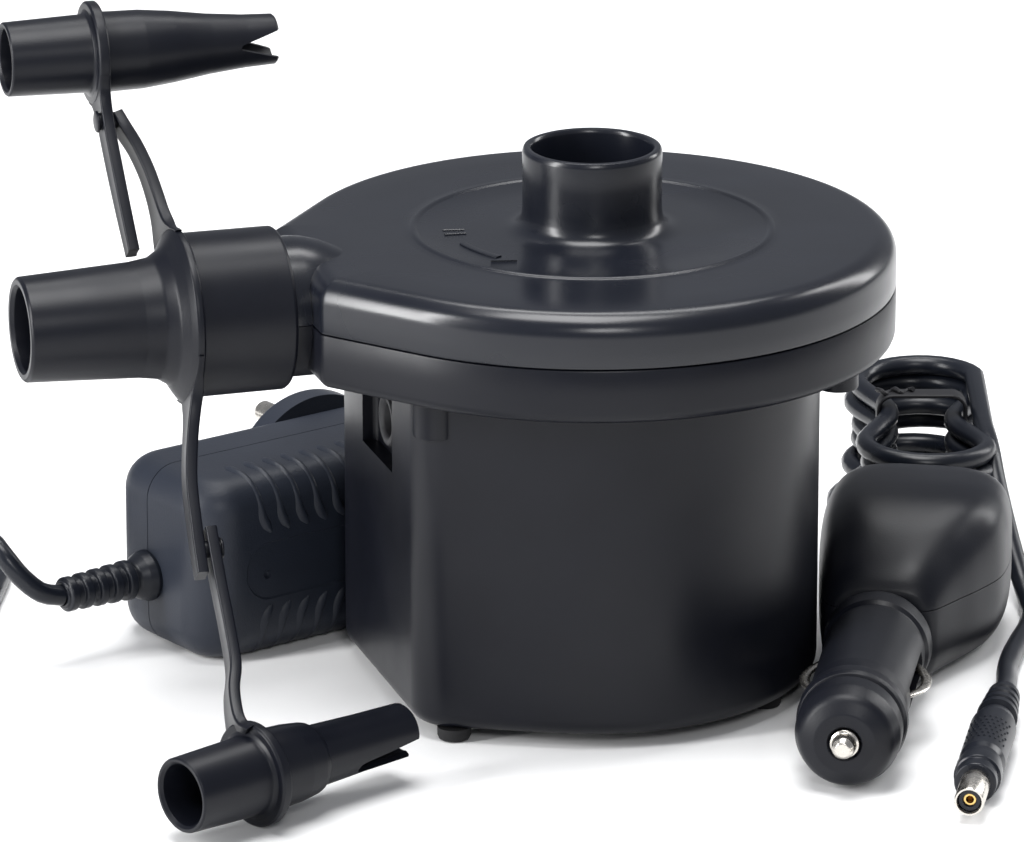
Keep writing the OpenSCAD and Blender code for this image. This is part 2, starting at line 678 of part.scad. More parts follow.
module ac_core() {
    color([0.35, 0.35, 0.37]) ac_place() difference() {
        translate([24, 3.5, 4]) cube([30, 16, 27]);
        for (z = [9, 20.5]) translate([24 - 1, 3, z]) cube([32, 17, 5.5]);
    }
}

module ac_coil() {
    color([0.7, 0.38, 0.2]) ac_place() difference() {
        translate([25.5, 2.6, 9.2]) block([27, 17.8, 16.6], 3);
        translate([23, 3.4, 14.4]) cube([32, 16.2, 6.2]);
    }
}

module ac_board() {
    color([0.1, 0.3, 0.15]) ac_place() {
        difference() {
            translate([6, 21.5, 9]) cube([13, 1.6, 18]);
            for (z = [12, 24]) translate([16, 24, z]) rotate([90, 0, 0]) cylinder(r = 0.8, h = 4, $fn = 24);
        }
        for (z = [12, 15.5, 19, 22.5]) translate([6.5, 20.3, z]) cube([3, 1.3, 2]);
    }
}

module ac_capacitor() {
    color([0.12, 0.15, 0.3]) ac_place() translate([15, 21.4, 18]) rotate([90, 0, 0]) difference() {
        cylinder(r = 5, h = 13, $fn = 48);
        translate([0, 0, 12.6]) tube(3.6, 3.1, 1);
    }
}

module ac_strain_relief() {
    color([0.06, 0.06, 0.07]) ac_place() translate([0, ac_seam, relief_z])
        rotate([0, -90, 0]) difference() {
        union() {
            translate([0, 0, -3.4]) cylinder(r = 5, h = 1.4, $fn = 48);
            translate([0, 0, -2.1]) cylinder(r = 3.35, h = 4, $fn = 48);
            translate([0, 0, 0.1]) cylinder(r1 = 4.9, r2 = 3.6, h = 4, $fn = 48);
            for (k = [0:4]) translate([0, 0, 4 + 3.3 * k]) cylinder(r = 3.8 - 0.12 * k, h = 1.8, $fn = 48);
            translate([0, 0, 1]) cylinder(r1 = 3.1, r2 = 2.7, h = 19, $fn = 48);
        }
        translate([0, 0, -4]) cylinder(r = 2, h = 40, $fn = 48);
    }
}

module ac_cord() {
    color([0.05, 0.05, 0.06]) {
        sweep(ac_route, cord_d / 2);
        sweep(ac_tail, cord_d / 2);
    }
}

module ac_cord_coil() {
    color([0.05, 0.05, 0.06]) translate(ac_coil_at) rotate_extrude($fn = 72)
        translate([coil_size[0], 0]) square([coil_size[1] - coil_size[0], coil_size[2]]);
}

module ac_cord_tie() {
    w = coil_size[1] - coil_size[0];
    color([0.04, 0.04, 0.04]) translate(ac_coil_at) difference() {
        translate([-2, coil_size[0] - 0.9, 0]) cube([4, w + 1.8, coil_size[2] + 0.9]);
        translate([-3, coil_size[0], -1]) cube([6, w, coil_size[2] + 1]);
    }
}

// Low-voltage plug along +X, lying on z = 0
module dc_grip() {
    translate([0, 0, 4.5]) difference() {
        union() {
            rod(2.6, 16, $fn = 48);
            for (k = [0:3]) translate([2 + 3.4 * k, 0, 0]) rod(3.2 + 0.25 * k, 1.8, $fn = 48);
            translate([15, 0, 0]) pipe([[0, 3.4], [3, 4.3], [22, 4.3], [24, 3.9], [27, 3.9], [28, 4.4],
                [31, 4.4], [32, 3.9], [33, 3.9]],
                [[0, 0], [33, 0]]);
        }
        translate([-1, 0, 0]) rod(2, 12, $fn = 48);
        translate([36, 0, 0]) rod(2.2, 20, $fn = 48);
    }
}

module dc_barrel() {
    translate([0, 0, 4.5]) {
        translate([48.05, 0, 0]) difference() {
            rod(dc_r, 9.5, $fn = 48);
            translate([-1, 0, 0]) rod(dc_r - 0.5, 20, $fn = 48);
        }
        translate([38, 0, 0]) rod(2.15, 10.4, $fn = 48);
        translate([48, 0, 0]) difference() {
            rod(dc_r - 0.52, 9, $fn = 48);
            translate([-1, 0, 0]) rod(1.1, 20, $fn = 48);
        }
    }
}

module ac_plug_grip() color([0.05, 0.05, 0.06]) translate(ac_plug_at)
    rotate([0, 0, ac_plug_turn]) dc_grip();
module ac_plug_barrel() color([0.75, 0.75, 0.76]) translate(ac_plug_at)
    rotate([0, 0, ac_plug_turn]) dc_barrel();
module car_plug_grip() color([0.05, 0.05, 0.06]) translate(car_plug_at)
    rotate([0, 0, car_plug_turn]) dc_grip();
module car_plug_barrel() color([0.75, 0.75, 0.76]) translate(car_plug_at)
    rotate([0, 0, car_plug_turn]) dc_barrel();

// Vehicle adapter ----------------------------------------------------------------

module car_place() translate(car_origin) rotate([0, 0, car_turn]) children();

// Height of the plug's axis above the floor, and where its pieces begin
axis_h = 10.4;
collar_x = 14;
barrel_x = 20;
neck_x = 62;
house_x = 68;
house_y = -3.5;

// Half-housing between z0 and z1
module car_half(z0, z1) {
    difference() {
        intersection() {
            union() {
                hull() {
                    translate([house_x, house_y, axis_h + 3]) rod(11, 1, $fn = 32);
                    for (y = [-1, 1], z = [6, house[2] - 6])
                        translate([house_x + 16, house_y + y * (house[1] / 2 - 9) * 0.9, z])
                        sphere(r = 6, $fn = 24);
                }
                hull() for (x = [house_x + 14, house_x + 36], y = [-1, 1], z = [6, house[2] - 6])
                    translate([x, house_y + y * (house[0] / 2 - 6), z]) sphere(r = 6, $fn = 24);
                translate([neck_x, 0, axis_h]) rod(10.3, 10, $fn = 72);
            }
            translate([neck_x - 1, -40, z0]) cube([60, 80, z1 - z0]);
        }
        // Hollow
        translate([house_x + 8, house_y - 14, 3]) block([30, 28, house[2] - 6], 3);
        translate([neck_x - 2, 0, axis_h]) rod(8.6, 22, $fn = 72);
        // Exits of the two leads
        translate([house_x + 30, house_y + 9, 12]) rod(2.1, 20, $fn = 48);
    }
}

module car_case_upper() {
    color([0.07, 0.08, 0.1]) car_place() difference() {
        car_half(16.05, house[2]);
        translate([house_x + 23, house_y, house[2] - 12]) cylinder(r = 1.05, h = 8, $fn = 32);
    }
}

module car_case_lower() {
    color([0.07, 0.08, 0.1]) car_place() difference() {
        union() {
            car_half(0, 15.95);
            translate([house_x + 23, house_y, 2]) cylinder(r = 3, h = 14, $fn = 48);
        }
        translate([house_x + 23, house_y, -1]) cylinder(r = 1.25, h = 30, $fn = 32);
        translate([house_x + 23, house_y, -1]) cylinder(r = 2.3, h = 5, $fn = 32);
    }
}

module car_case_screw() {
    color([0.6, 0.6, 0.62]) car_place() {
        translate([house_x + 23, house_y, 1.2]) screw(2.1, 1.8, 1, 24);
        translate([house_x + 23, house_y, 16.1]) difference() {
            cylinder(r = 3, h = house[2] - 16.1 - 3.8, $fn = 48);
            translate([0, 0, -1]) cylinder(r = 1.1, h = 30, $fn = 32);
        }
    }
}

module car_barrel() {
    color([0.07, 0.08, 0.1]) car_place() translate([0, 0, axis_h]) difference() {
        union() {
            translate([barrel_x, 0, 0]) pipe([[0, 9], [2, 9.4], [42, 9.5]], [[0, 0], [42, 0]]);
            translate([barrel_x + 41, 0, 0]) rod(8.5, 12, $fn = 72);
        }
        translate([barrel_x - 1, 0, 0]) rod(4.2, 31, $fn = 48);
        // Windows of the two side contacts
        for (s = [-1, 1]) translate([barrel_x + 9, s * 6.6 - 3.6, -2.2]) cube([20, 7.2, 4.4]);
        translate([barrel_x - 1, 0, 0]) rod(7.25, 6, $fn = 48);
    }
}

module car_nose_cap() {
    color([0.07, 0.08, 0.1]) car_place() translate([0, 0, axis_h]) difference() {
        union() {
            translate([3.4, 0, 0]) pipe(
                [[0, 5.2], [0.6, 6.4], [2.2, 7.9], [5, 9], [10.5, 9.6], [10.6, 10.2], [16, 10.2], [16.4, 9.6]],
                [[0, 0], [16.4, 0]]);
            translate([19.7, 0, 0]) rod(7.2, 4.8, $fn = 48);
        }
        translate([0, 0, 0]) rod(2.85, 40, $fn = 48);
        translate([8.2, 0, 0]) rod(4.1, 40, $fn = 48);
    }
}

module car_tip_contact() {
    color([0.75, 0.75, 0.76]) car_place() translate([0, 0, axis_h]) {
        pipe([[0, 1.9], [0.8, 2.7], [8.5, 2.7]], [[0, 0], [8.5, 0]]);
        translate([8.4, 0, 0]) rod(3.9, 1.6, $fn = 48);
    }
}

module car_fuse() {
    color([0.8, 0.78, 0.7]) car_place() translate([18.5, 0, axis_h]) {
        rod(3, 6, $fn = 48);
        translate([5.9, 0, 0]) rod(2.7, 14.2, $fn = 48);
        translate([20, 0, 0]) rod(3, 6, $fn = 48);
    }
}

// Helix of spring wire round +X
module car_tip_spring() {
    turns = 3;
    color([0.7, 0.7, 0.72]) car_place() translate([12.6, 0, axis_h])
        sweep([for (k = [0:turns * 12]) [5.1 * k / (turns * 12), 3.1 * cos(30 * k),
            3.1 * sin(30 * k)]], 0.35, 6);
}

// A sprung side contact on side s
module car_contact(s) {
    color([0.75, 0.75, 0.76]) car_place() translate([0, 0, axis_h])
        sweep([for (k = [0:8]) [barrel_x + 9.8 + 2.3 * k, s * (7.6 + 3.6 * sin(22.5 * k)), 0]], 0.7, 8);
}

module car_contact_left() car_contact(1);
module car_contact_right() car_contact(-1);

module car_board() {
    color([0.1, 0.3, 0.15]) car_place() {
        difference() {
            translate([house_x + 9, house_y - 12, 17.5]) cube([26, 24, 1.4]);
            translate([house_x + 23, house_y, 10]) cylinder(r = 4, h = 20, $fn = 48);
        }
        for (y = [-9, 6]) translate([house_x + 12, house_y + y, 18.9]) cube([5, 4, 3]);
        translate([house_x + 30, house_y - 6, 18.9]) cylinder(r = 2.4, h = 7, $fn = 48);
    }
}

module car_cord_feed() color([0.05, 0.05, 0.06]) sweep(car_feed, cord_d / 2);
module car_cord_tail() color([0.05, 0.05, 0.06]) sweep(car_route, cord_d / 2);

module hank_place() translate(hank_at) rotate([0, 0, hank_turn]) children();

// A block of the hank's outline, with round ends
module hank_block(l, w, h) {
    translate([(w - l) / 2, -w / 2, 0]) cube([l - w, w, h]);
    for (s = [-1, 1]) translate([s * (l - w) / 2, 0, 0]) cylinder(r = w / 2, h = h, $fn = 64);
}

// Two round hollows that draw a block's sides in to half width w at the tie
module hank_waist_cut(w, r) {
    difference() {
        children();
        for (s = [-1, 1]) translate([0, s * (w + r), -1]) cylinder(r = r, h = hank[2] + 2, $fn = 144);
    }
}

module car_cord_hank() {
    color([0.05, 0.05, 0.06]) hank_place() {
        hank_waist_cut(hank_waist[0], 36) hank_block(hank[0], hank[1], hank[2]);
        hank_waist_cut(hank_waist[1], 48)
            hank_block(hank[0] + hank_foot[0], hank[1] + hank_foot[0], hank_foot[1]);
    }
}

module car_cord_tie() {
    color([0.04, 0.04, 0.04]) hank_place() difference() {
        translate([-2.5, -hank_waist[0] - 0.9, hank_foot[1] + 0.3])
            cube([5, 2 * hank_waist[0] + 1.8, hank[2] - hank_foot[1] + 0.6]);
        translate([-4, -hank_waist[0] - 0.1, -1]) cube([8, 2 * hank_waist[0] + 0.2, hank[2] + 1]);
    }
}

upper_cover();
lower_volute();
body_shell();
rubber_feet();
cover_screws();
body_screws();
inlet_grille();
motor_can();
motor_end_cap();
motor_magnets();
motor_bushes();
motor_brushes();
motor_terminals();
motor_screws();
motor_damper();
jack_housing();
jack_pin();
jack_contact();
power_leads();
impeller();
motor_shaft();
armature_core();
armature_windings();
commutator();
main_nozzle();
upper_nozzle();
lower_nozzle();
ac_case_front();
ac_case_back();
ac_plug_pins();
ac_case_screws();
ac_core();
ac_coil();
ac_board();
ac_capacitor();
ac_strain_relief();
ac_cord();
ac_cord_coil();
ac_cord_tie();
ac_plug_grip();
ac_plug_barrel();
car_case_upper();
car_case_lower();
car_barrel();
car_nose_cap();
car_tip_contact();
car_tip_spring();
car_fuse();
car_contact_left();
car_contact_right();
car_board();
car_case_screw();
car_cord_feed();
car_cord_hank();
car_cord_tie();
car_cord_tail();
car_plug_grip();
car_plug_barrel();
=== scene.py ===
"""The looks of an electric air mattress pump kit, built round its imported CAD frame."""

import json
import math

import bmesh
import bpy
from mathutils import Matrix, Vector


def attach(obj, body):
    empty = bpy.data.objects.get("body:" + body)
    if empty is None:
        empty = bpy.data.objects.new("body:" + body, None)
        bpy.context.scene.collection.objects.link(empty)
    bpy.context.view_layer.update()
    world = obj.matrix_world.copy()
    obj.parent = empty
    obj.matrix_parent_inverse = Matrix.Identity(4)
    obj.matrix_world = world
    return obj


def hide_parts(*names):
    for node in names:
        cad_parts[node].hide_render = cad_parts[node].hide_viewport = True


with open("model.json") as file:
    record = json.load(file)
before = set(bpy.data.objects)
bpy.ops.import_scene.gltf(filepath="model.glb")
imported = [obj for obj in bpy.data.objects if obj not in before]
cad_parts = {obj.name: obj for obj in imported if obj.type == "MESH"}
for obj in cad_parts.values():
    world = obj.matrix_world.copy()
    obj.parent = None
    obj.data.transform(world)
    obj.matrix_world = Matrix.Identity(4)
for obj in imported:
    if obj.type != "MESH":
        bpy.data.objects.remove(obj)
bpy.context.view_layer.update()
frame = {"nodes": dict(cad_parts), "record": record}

MM = 0.001
FLOOR = -2.5
TAU = 2 * math.pi


# ---------------------------------------------------------------- the camera
def make_camera():
    """The photograph's view: a long lens, 17 degrees left of the front and 18 degrees up."""
    turn, tilt = math.radians(-17), math.radians(18)
    away = Vector((math.sin(turn) * math.cos(tilt), -math.cos(turn) * math.cos(tilt), math.sin(tilt)))
    camera = bpy.data.objects.new("camera", bpy.data.cameras.new("camera"))
    camera.location = Vector((-0.0143, 0.0044, 0.048)) + 1.4 * away
    camera.rotation_euler = away.to_track_quat("Z", "Y").to_euler()
    camera.data.lens = 261
    bpy.context.scene.collection.objects.link(camera)
    bpy.context.scene.camera = camera


make_camera()


# ---------------------------------------------------------------- places
def at_row(origin, turn):
    """A frame that lies on the floor at origin, turned about +Z. All in millimetres and degrees."""
    return Matrix.Translation(Vector(origin)) @ Matrix.Rotation(math.radians(turn), 4, "Z")


ROW = Matrix.Identity(4)
AC_PLACE = at_row((-70, 21.2, FLOOR), 20)
CAR_PLACE = at_row((22.5, -80, FLOOR), 64)
HANK_PLACE = at_row((87, 56, FLOOR), 73)
AC_PLUG_PLACE = at_row((-162, 98, FLOOR), 270)
CAR_PLUG_PLACE = at_row((67, -45.5, FLOOR), 243)
SEAM_Z = 76
STRAP_TURN = math.radians(39)


def along_strap(t):
    """(y, z) of the straps' centre line at distance t from the outlet's axis, upwards and back."""
    return t * math.sin(STRAP_TURN), SEAM_Z + t * math.cos(STRAP_TURN)


# ---------------------------------------------------------------- outlines and meshes
def catmull(a, b, c, d, t):
    """The Catmull-Rom curve between b and c at share t."""
    return 0.5 * (2 * b + (c - a) * t + (2 * a - 5 * b + 4 * c - d) * t * t + (3 * b - a - 3 * c + d) * t ** 3)


def smooth_line(points, step=1.2):
    """A Catmull-Rom curve through points, with a point about every step millimetres."""
    points = [Vector(p) for p in points]
    padded = [2 * points[0] - points[1]] + points + [2 * points[-1] - points[-2]]
    line = []
    for a, b, c, d in zip(padded, padded[1:], padded[2:], padded[3:]):
        count = max(2, int((c - b).length / step))
        for k in range(count):
            line.append(catmull(a, b, c, d, k / count))
    return line + [points[-1]]


def rounded(corners, closed=False):
    """A polyline whose corners (x, y, radius) are rounded with arcs."""
    points = []
    count = len(corners)
    for i, corner in enumerate(corners):
        here, radius = Vector(corner[:2]), (corner[2] if len(corner) > 2 else 0)
        if radius <= 0 or (not closed and i in (0, count - 1)):
            points.append(here)
            continue
        before = (Vector(corners[i - 1][:2]) - here)
        after = (Vector(corners[(i + 1) % count][:2]) - here)
        half = before.angle(after) / 2
        reach = min(radius / math.tan(half), 0.499 * before.length, 0.499 * after.length)
        radius = reach * math.tan(half)
        before.normalize()
        after.normalize()
        centre = here + (before + after).normalized() * radius / math.sin(half)
        start, end = here + before * reach - centre, here + after * reach - centre
        sweep = start.angle_signed(end)
        steps = max(3, int(abs(sweep) / math.radians(12)) + 1)
        for k in range(steps + 1):
            a = -sweep * k / steps
            points.append(centre + Vector((start.x * math.cos(a) - start.y * math.sin(a),
                                           start.x * math.sin(a) + start.y * math.cos(a))))
    return points


def linked(name, data):
    """A new object of the scene."""
    piece = bpy.data.objects.new(name, data)
    bpy.context.scene.collection.objects.link(piece)
    return piece


def smooth_into(mesh, work, sharp):
    """Writes a bmesh into a mesh, smooth but for edges sharper than sharp degrees."""
    for face in work.faces:
        face.smooth = True
    for edge in work.edges:
        edge.smooth = not (edge.is_manifold and edge.calc_face_angle(0) > math.radians(sharp))
    work.to_mesh(mesh)
    work.free()


def new_object(name, verts, faces, place=ROW, sharp=35):
    """A mesh object from millimetres in a placed frame, smooth but for edges sharper than sharp degrees."""
    mesh = bpy.data.meshes.new(name)
    mesh.from_pydata([(place @ Vector(v)) * MM for v in verts], [], faces)
    mesh.validate()
    work = bmesh.new()
    work.from_mesh(mesh)
    bmesh.ops.remove_doubles(work, verts=work.verts, dist=1e-6)
    bmesh.ops.recalc_face_normals(work, faces=work.faces)
    smooth_into(mesh, work, sharp)
    return linked(name, mesh)


def rod_line(r, a, b):
    """The lathe outline of a plain rod from a to b."""
    return [(0.01, a), (r, a), (r, b), (0.01, b)]


def sleeve_line(inner, outer, a, b):
    """The lathe outline of a plain sleeve from a to b."""
    return [(inner, a), (outer, a), (outer, b), (inner, b), (inner, a)]


def skinned(name, rings, place=ROW, sharp=35, loop=False):
    """A closed piece through rings of equally many points, capped at its ends or joined in a loop."""
    verts = [v for ring in rings for v in ring]
    n = len(rings[0])
    faces = []
    last = len(rings) if loop else len(rings) - 1
    for i in range(last):
        j = (i + 1) % len(rings)
        for k in range(n):
            m = (k + 1) % n
            faces.append((i * n + k, i * n + m, j * n + m, j * n + k))
    if not loop:
        faces.append(tuple(range(n))[::-1])
        faces.append(tuple(range((len(rings) - 1) * n, len(rings) * n)))
    return new_object(name, verts, faces, place, sharp)


def slab(name, x0, x1, y0, y1, z0, z1, place=ROW):
    rings = [[Vector(p) for p in ((x0, y0, z), (x1, y0, z), (x1, y1, z), (x0, y1, z))] for z in (z0, z1)]
    return skinned(name, rings, place)


def lathe(name, outline, place=ROW, axis="Z", sides=128, sharp=35):
    """A solid of revolution. outline is (radius, height) points; a closed one makes a hollow piece."""
    turn = {"Z": Matrix.Identity(4), "X": Matrix.Rotation(math.radians(90), 4, "Y")}[axis]
    hollow = (Vector(outline[0]) - Vector(outline[-1])).length < 1e-6
    points = outline[:-1] if hollow else outline
    rings = [[turn @ Vector((r * math.cos(TAU * k / sides), r * math.sin(TAU * k / sides), h))
              for k in range(sides)] for r, h in points]
    return skinned(name, rings, place, sharp, loop=hollow)


def inset_outline(outline, inset):
    """A closed outline moved inwards along its own normals."""
    moved = []
    n = len(outline)
    for i in range(n):
        tangent = (outline[(i + 1) % n] - outline[i - 1]).normalized()
        moved.append(outline[i] + Vector((-tangent.y, tangent.x)) * inset)
    return moved


def resample(outline, step):
    """A closed outline with evenly spaced points."""
    closed = outline + [outline[0]]
    lengths = [(b - a).length for a, b in zip(closed, closed[1:])]
    total = sum(lengths)
    count = int(total / step)
    result, i, done = [], 0, 0.0
    for k in range(count):
        want = total * k / count
        while done + lengths[i] < want:
            done += lengths[i]
            i += 1
        t = (want - done) / lengths[i] if lengths[i] else 0
        result.append(closed[i].lerp(closed[i + 1], t))
    return result


def prism(name, outline, profile, place=ROW, to_space=None, sharp=35):
    """A closed counter-clockwise outline swept up a profile of (inset, height) points."""
    to_space = to_space or (lambda p, h: Vector((p.x, p.y, h)))
    rings = [[to_space(p, h) for p in inset_outline(outline, inset)] for inset, h in profile]
    return skinned(name, rings, place, sharp)


def pipe_rings(line, section, up=Vector((0, 0, 1))):
    """Rings of a section (function of the share of the way: a list of (side, up) points) along a line."""
    rings = []
    n = len(line)
    side = None
    for i, p in enumerate(line):
        ahead = (line[min(i + 1, n - 1)] - line[max(i - 1, 0)]).normalized()
        if side is None:
            side = ahead.cross(up).normalized()
        side = (side - ahead * side.dot(ahead)).normalized()
        over = side.cross(ahead)
        rings.append([p + side * a + over * b for a, b in section(i / (n - 1))])
    return rings


def circle(r, sides=16):
    return [(r * math.cos(TAU * k / sides), r * math.sin(TAU * k / sides)) for k in range(sides)]


def ribbon_section(width, thick, r=0.6, steps=4):
    """A rounded rectangle, width by thick."""
    points = []
    for cx, cy, start in ((1, 1, 0), (-1, 1, 90), (-1, -1, 180), (1, -1, 270)):
        for k in range(steps + 1):
            a = math.radians(start + 90 * k / steps)
            points.append((cx * (width / 2 - r) + r * math.cos(a), cy * (thick / 2 - r) + r * math.sin(a)))
    return points


def swept(name, line, section, place=ROW, up=Vector((0, 0, 1)), sharp=35):
    return skinned(name, pipe_rings(line, section, up), place, sharp)


def join(name, pieces):
    """Several pieces as one object, each keeping its own closed surface."""
    first = pieces[0]
    work = bmesh.new()
    slots = []
    for piece in pieces:
        start = len(work.faces)
        work.from_mesh(piece.data)
        work.faces.ensure_lookup_table()
        for material in piece.data.materials:
            if material not in slots:
                slots.append(material)
        for face in work.faces[start:]:
            if piece.data.materials:
                face.material_index = slots.index(piece.data.materials[face.material_index])
    work.to_mesh(first.data)
    work.free()
    first.data.materials.clear()
    for material in slots:
        first.data.materials.append(material)
    for piece in pieces[1:]:
        bpy.data.objects.remove(piece)
    first.name = name
    return first


def cut(piece, tool, operation="DIFFERENCE"):
    """Takes a tool's volume out of a piece, or adds it with UNION."""
    modifier = piece.modifiers.new("boolean", "BOOLEAN")
    modifier.object = tool
    modifier.operation = operation
    modifier.solver = "EXACT"
    bpy.context.view_layer.update()
    result = bpy.data.meshes.new_from_object(piece.evaluated_get(bpy.context.evaluated_depsgraph_get()))
    piece.modifiers.clear()
    piece.data = result
    bpy.data.objects.remove(tool)


# ---------------------------------------------------------------- materials
def material(name):
    made = bpy.data.materials.new(name)
    made.use_nodes = True
    return made, made.node_tree, made.node_tree.nodes["Principled BSDF"]


def moulded(name, colour, rough, grain=0.25, grain_size=0.22, smudge=0.08, coat=0.0, specular=0.32):
    """Moulded plastic: a fine grain, faint flow marks and a handled, uneven gloss."""
    made, tree, shader = material(name)
    nodes, links = tree.nodes, tree.links
    shader.inputs["Specular IOR Level"].default_value = specular
    shader.inputs["Coat Weight"].default_value = coat
    shader.inputs["Coat Roughness"].default_value = 0.12
    where = nodes.new("ShaderNodeTexCoord").outputs["Object"]

    def noise_of(scale, detail):
        made_noise = nodes.new("ShaderNodeTexNoise")
        made_noise.inputs["Scale"].default_value = scale
        made_noise.inputs["Detail"].default_value = detail
        links.new(where, made_noise.inputs["Vector"])
        return made_noise.outputs["Fac"]

    patches = noise_of(38, 3)
    shade = nodes.new("ShaderNodeMapRange")
    shade.inputs["To Min"].default_value = rough - smudge
    shade.inputs["To Max"].default_value = rough + smudge
    shade.inputs["From Min"].default_value = 0.3
    shade.inputs["From Max"].default_value = 0.7
    links.new(patches, shade.inputs["Value"])
    links.new(shade.outputs["Result"], shader.inputs["Roughness"])

    tone = nodes.new("ShaderNodeMix")
    tone.data_type = "RGBA"
    tone.inputs["A"].default_value = (*[c * 0.86 for c in colour], 1)
    tone.inputs["B"].default_value = (*[c * 1.16 for c in colour], 1)
    links.new(noise_of(90, 4), tone.inputs["Factor"])
    links.new(tone.outputs["Result"], shader.inputs["Base Color"])

    fine = nodes.new("ShaderNodeBump")
    fine.inputs["Strength"].default_value = grain
    fine.inputs["Distance"].default_value = 0.00004
    links.new(noise_of(1 / (grain_size * MM), 2), fine.inputs["Height"])
    flow = nodes.new("ShaderNodeBump")
    flow.inputs["Strength"].default_value = 0.12
    flow.inputs["Distance"].default_value = 0.0003
    links.new(noise_of(55, 2), flow.inputs["Height"])
    links.new(fine.outputs["Normal"], flow.inputs["Normal"])
    links.new(flow.outputs["Normal"], shader.inputs["Normal"])
    return made


def metal(name, colour, rough, brushed=0.15, scale=900, stretch=(1, 1, 1)):
    """Plated or drawn metal with fine scratches."""
    made, tree, shader = material(name)
    nodes, links = tree.nodes, tree.links
    shader.inputs["Metallic"].default_value = 1
    where = nodes.new("ShaderNodeTexCoord").outputs["Object"]
    mapping = nodes.new("ShaderNodeMapping")
    mapping.inputs["Scale"].default_value = stretch
    links.new(where, mapping.inputs["Vector"])
    scratches = nodes.new("ShaderNodeTexNoise")
    scratches.inputs["Scale"].default_value = scale
    scratches.inputs["Detail"].default_value = 3
    links.new(mapping.outputs["Vector"], scratches.inputs["Vector"])
    shade = nodes.new("ShaderNodeMapRange")
    shade.inputs["To Min"].default_value = max(0.05, rough - 0.1)
    shade.inputs["To Max"].default_value = rough + 0.12
    links.new(scratches.outputs["Fac"], shade.inputs["Value"])
    links.new(shade.outputs["Result"], shader.inputs["Roughness"])
    tone = nodes.new("ShaderNodeMix")
    tone.data_type = "RGBA"
    tone.inputs["A"].default_value = (*[c * 0.82 for c in colour], 1)
    tone.inputs["B"].default_value = (*colour, 1)
    links.new(scratches.outputs["Fac"], tone.inputs["Factor"])
    links.new(tone.outputs["Result"], shader.inputs["Base Color"])
    bump = nodes.new("ShaderNodeBump")
    bump.inputs["Strength"].default_value = brushed
    bump.inputs["Distance"].default_value = 0.00003
    links.new(scratches.outputs["Fac"], bump.inputs["Height"])
    links.new(bump.outputs["Normal"], shader.inputs["Normal"])
    return made


MATERIALS = {
    "cover_gloss_black": moulded("cover_gloss_black", (0.006, 0.0072, 0.0115), 0.25, grain=0.1, smudge=0.05, specular=0.4),
    "shell_satin_black": moulded("shell_satin_black", (0.0042, 0.0048, 0.008), 0.36, grain=0.25, specular=0.22),
    "nozzle_black": moulded("nozzle_black", (0.0045, 0.0052, 0.0085), 0.37, grain=0.3, grain_size=0.3, specular=0.22),
    "adapter_black": moulded("adapter_black", (0.015, 0.0185, 0.028), 0.42, grain=0.9, grain_size=0.35),
    "car_black": moulded("car_black", (0.0045, 0.0052, 0.0085), 0.36, grain=0.5, grain_size=0.3, specular=0.25),
    "cable_black": moulded("cable_black", (0.006, 0.0075, 0.012), 0.3, grain=0.3, grain_size=0.5),
    "tie_black": moulded("tie_black", (0.008, 0.008, 0.010), 0.5, grain=0.5, grain_size=0.5),
    "rubber_black": moulded("rubber_black", (0.010, 0.010, 0.011), 0.7, grain=0.9, grain_size=0.3),
    "end_cap_plastic": moulded("end_cap_plastic", (0.03, 0.03, 0.033), 0.5),
    "impeller_grey": moulded("impeller_grey", (0.5, 0.51, 0.52), 0.42),
    "board_green": moulded("board_green", (0.02, 0.12, 0.05), 0.35),
    "capacitor_blue": moulded("capacitor_blue", (0.02, 0.04, 0.13), 0.3),
    "lead_red": moulded("lead_red", (0.3, 0.02, 0.02), 0.4),
    "nickel": metal("nickel", (0.66, 0.63, 0.58), 0.25),
    "brass": metal("brass", (0.8, 0.55, 0.2), 0.25),
    "tinned_brass": metal("tinned_brass", (0.72, 0.70, 0.64), 0.3),
    "screw_steel": metal("screw_steel", (0.5, 0.5, 0.51), 0.35),
    "can_steel": metal("can_steel", (0.55, 0.56, 0.57), 0.4, stretch=(1, 1, 0.1)),
    "shaft_steel": metal("shaft_steel", (0.6, 0.61, 0.62), 0.22),
    "magnet": moulded("magnet", (0.05, 0.05, 0.052), 0.6, grain=0.9),
    "bronze": metal("bronze", (0.5, 0.34, 0.15), 0.45),
    "carbon": moulded("carbon", (0.03, 0.03, 0.03), 0.5, grain=0.8),
    "lamination": metal("lamination", (0.2, 0.2, 0.21), 0.5, scale=300, stretch=(0.05, 0.05, 8)),
    "copper": metal("copper", (0.68, 0.3, 0.13), 0.35, scale=300, stretch=(1, 1, 6)),
}


def finish_piece(piece, slot, body, *nodes):
    """Gives a piece its material, its body and the CAD nodes that it stands for."""
    if piece.type == "MESH" and len(piece.data.materials) == 0 or piece.type == "CURVE":
        piece.data.materials.append(MATERIALS[slot])
    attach(piece, body)
    if nodes:
        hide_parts(*nodes)
    return piece


# ---------------------------------------------------------------- the leads
def as_cord(name, line, diameter):
    """A lead as one open curve of that diameter along a line in millimetres."""
    data = bpy.data.curves.new(name, "CURVE")
    data.dimensions = "3D"
    data.bevel_depth = diameter / 2 * MM
    data.bevel_resolution = 5
    data.use_fill_caps = True
    spline = data.splines.new("POLY")
    spline.points.add(len(line) - 1)
    for point, p in zip(spline.points, line):
        point.co = (*(p * MM), 1)
    spline.use_smooth = True
    return linked(name, data)


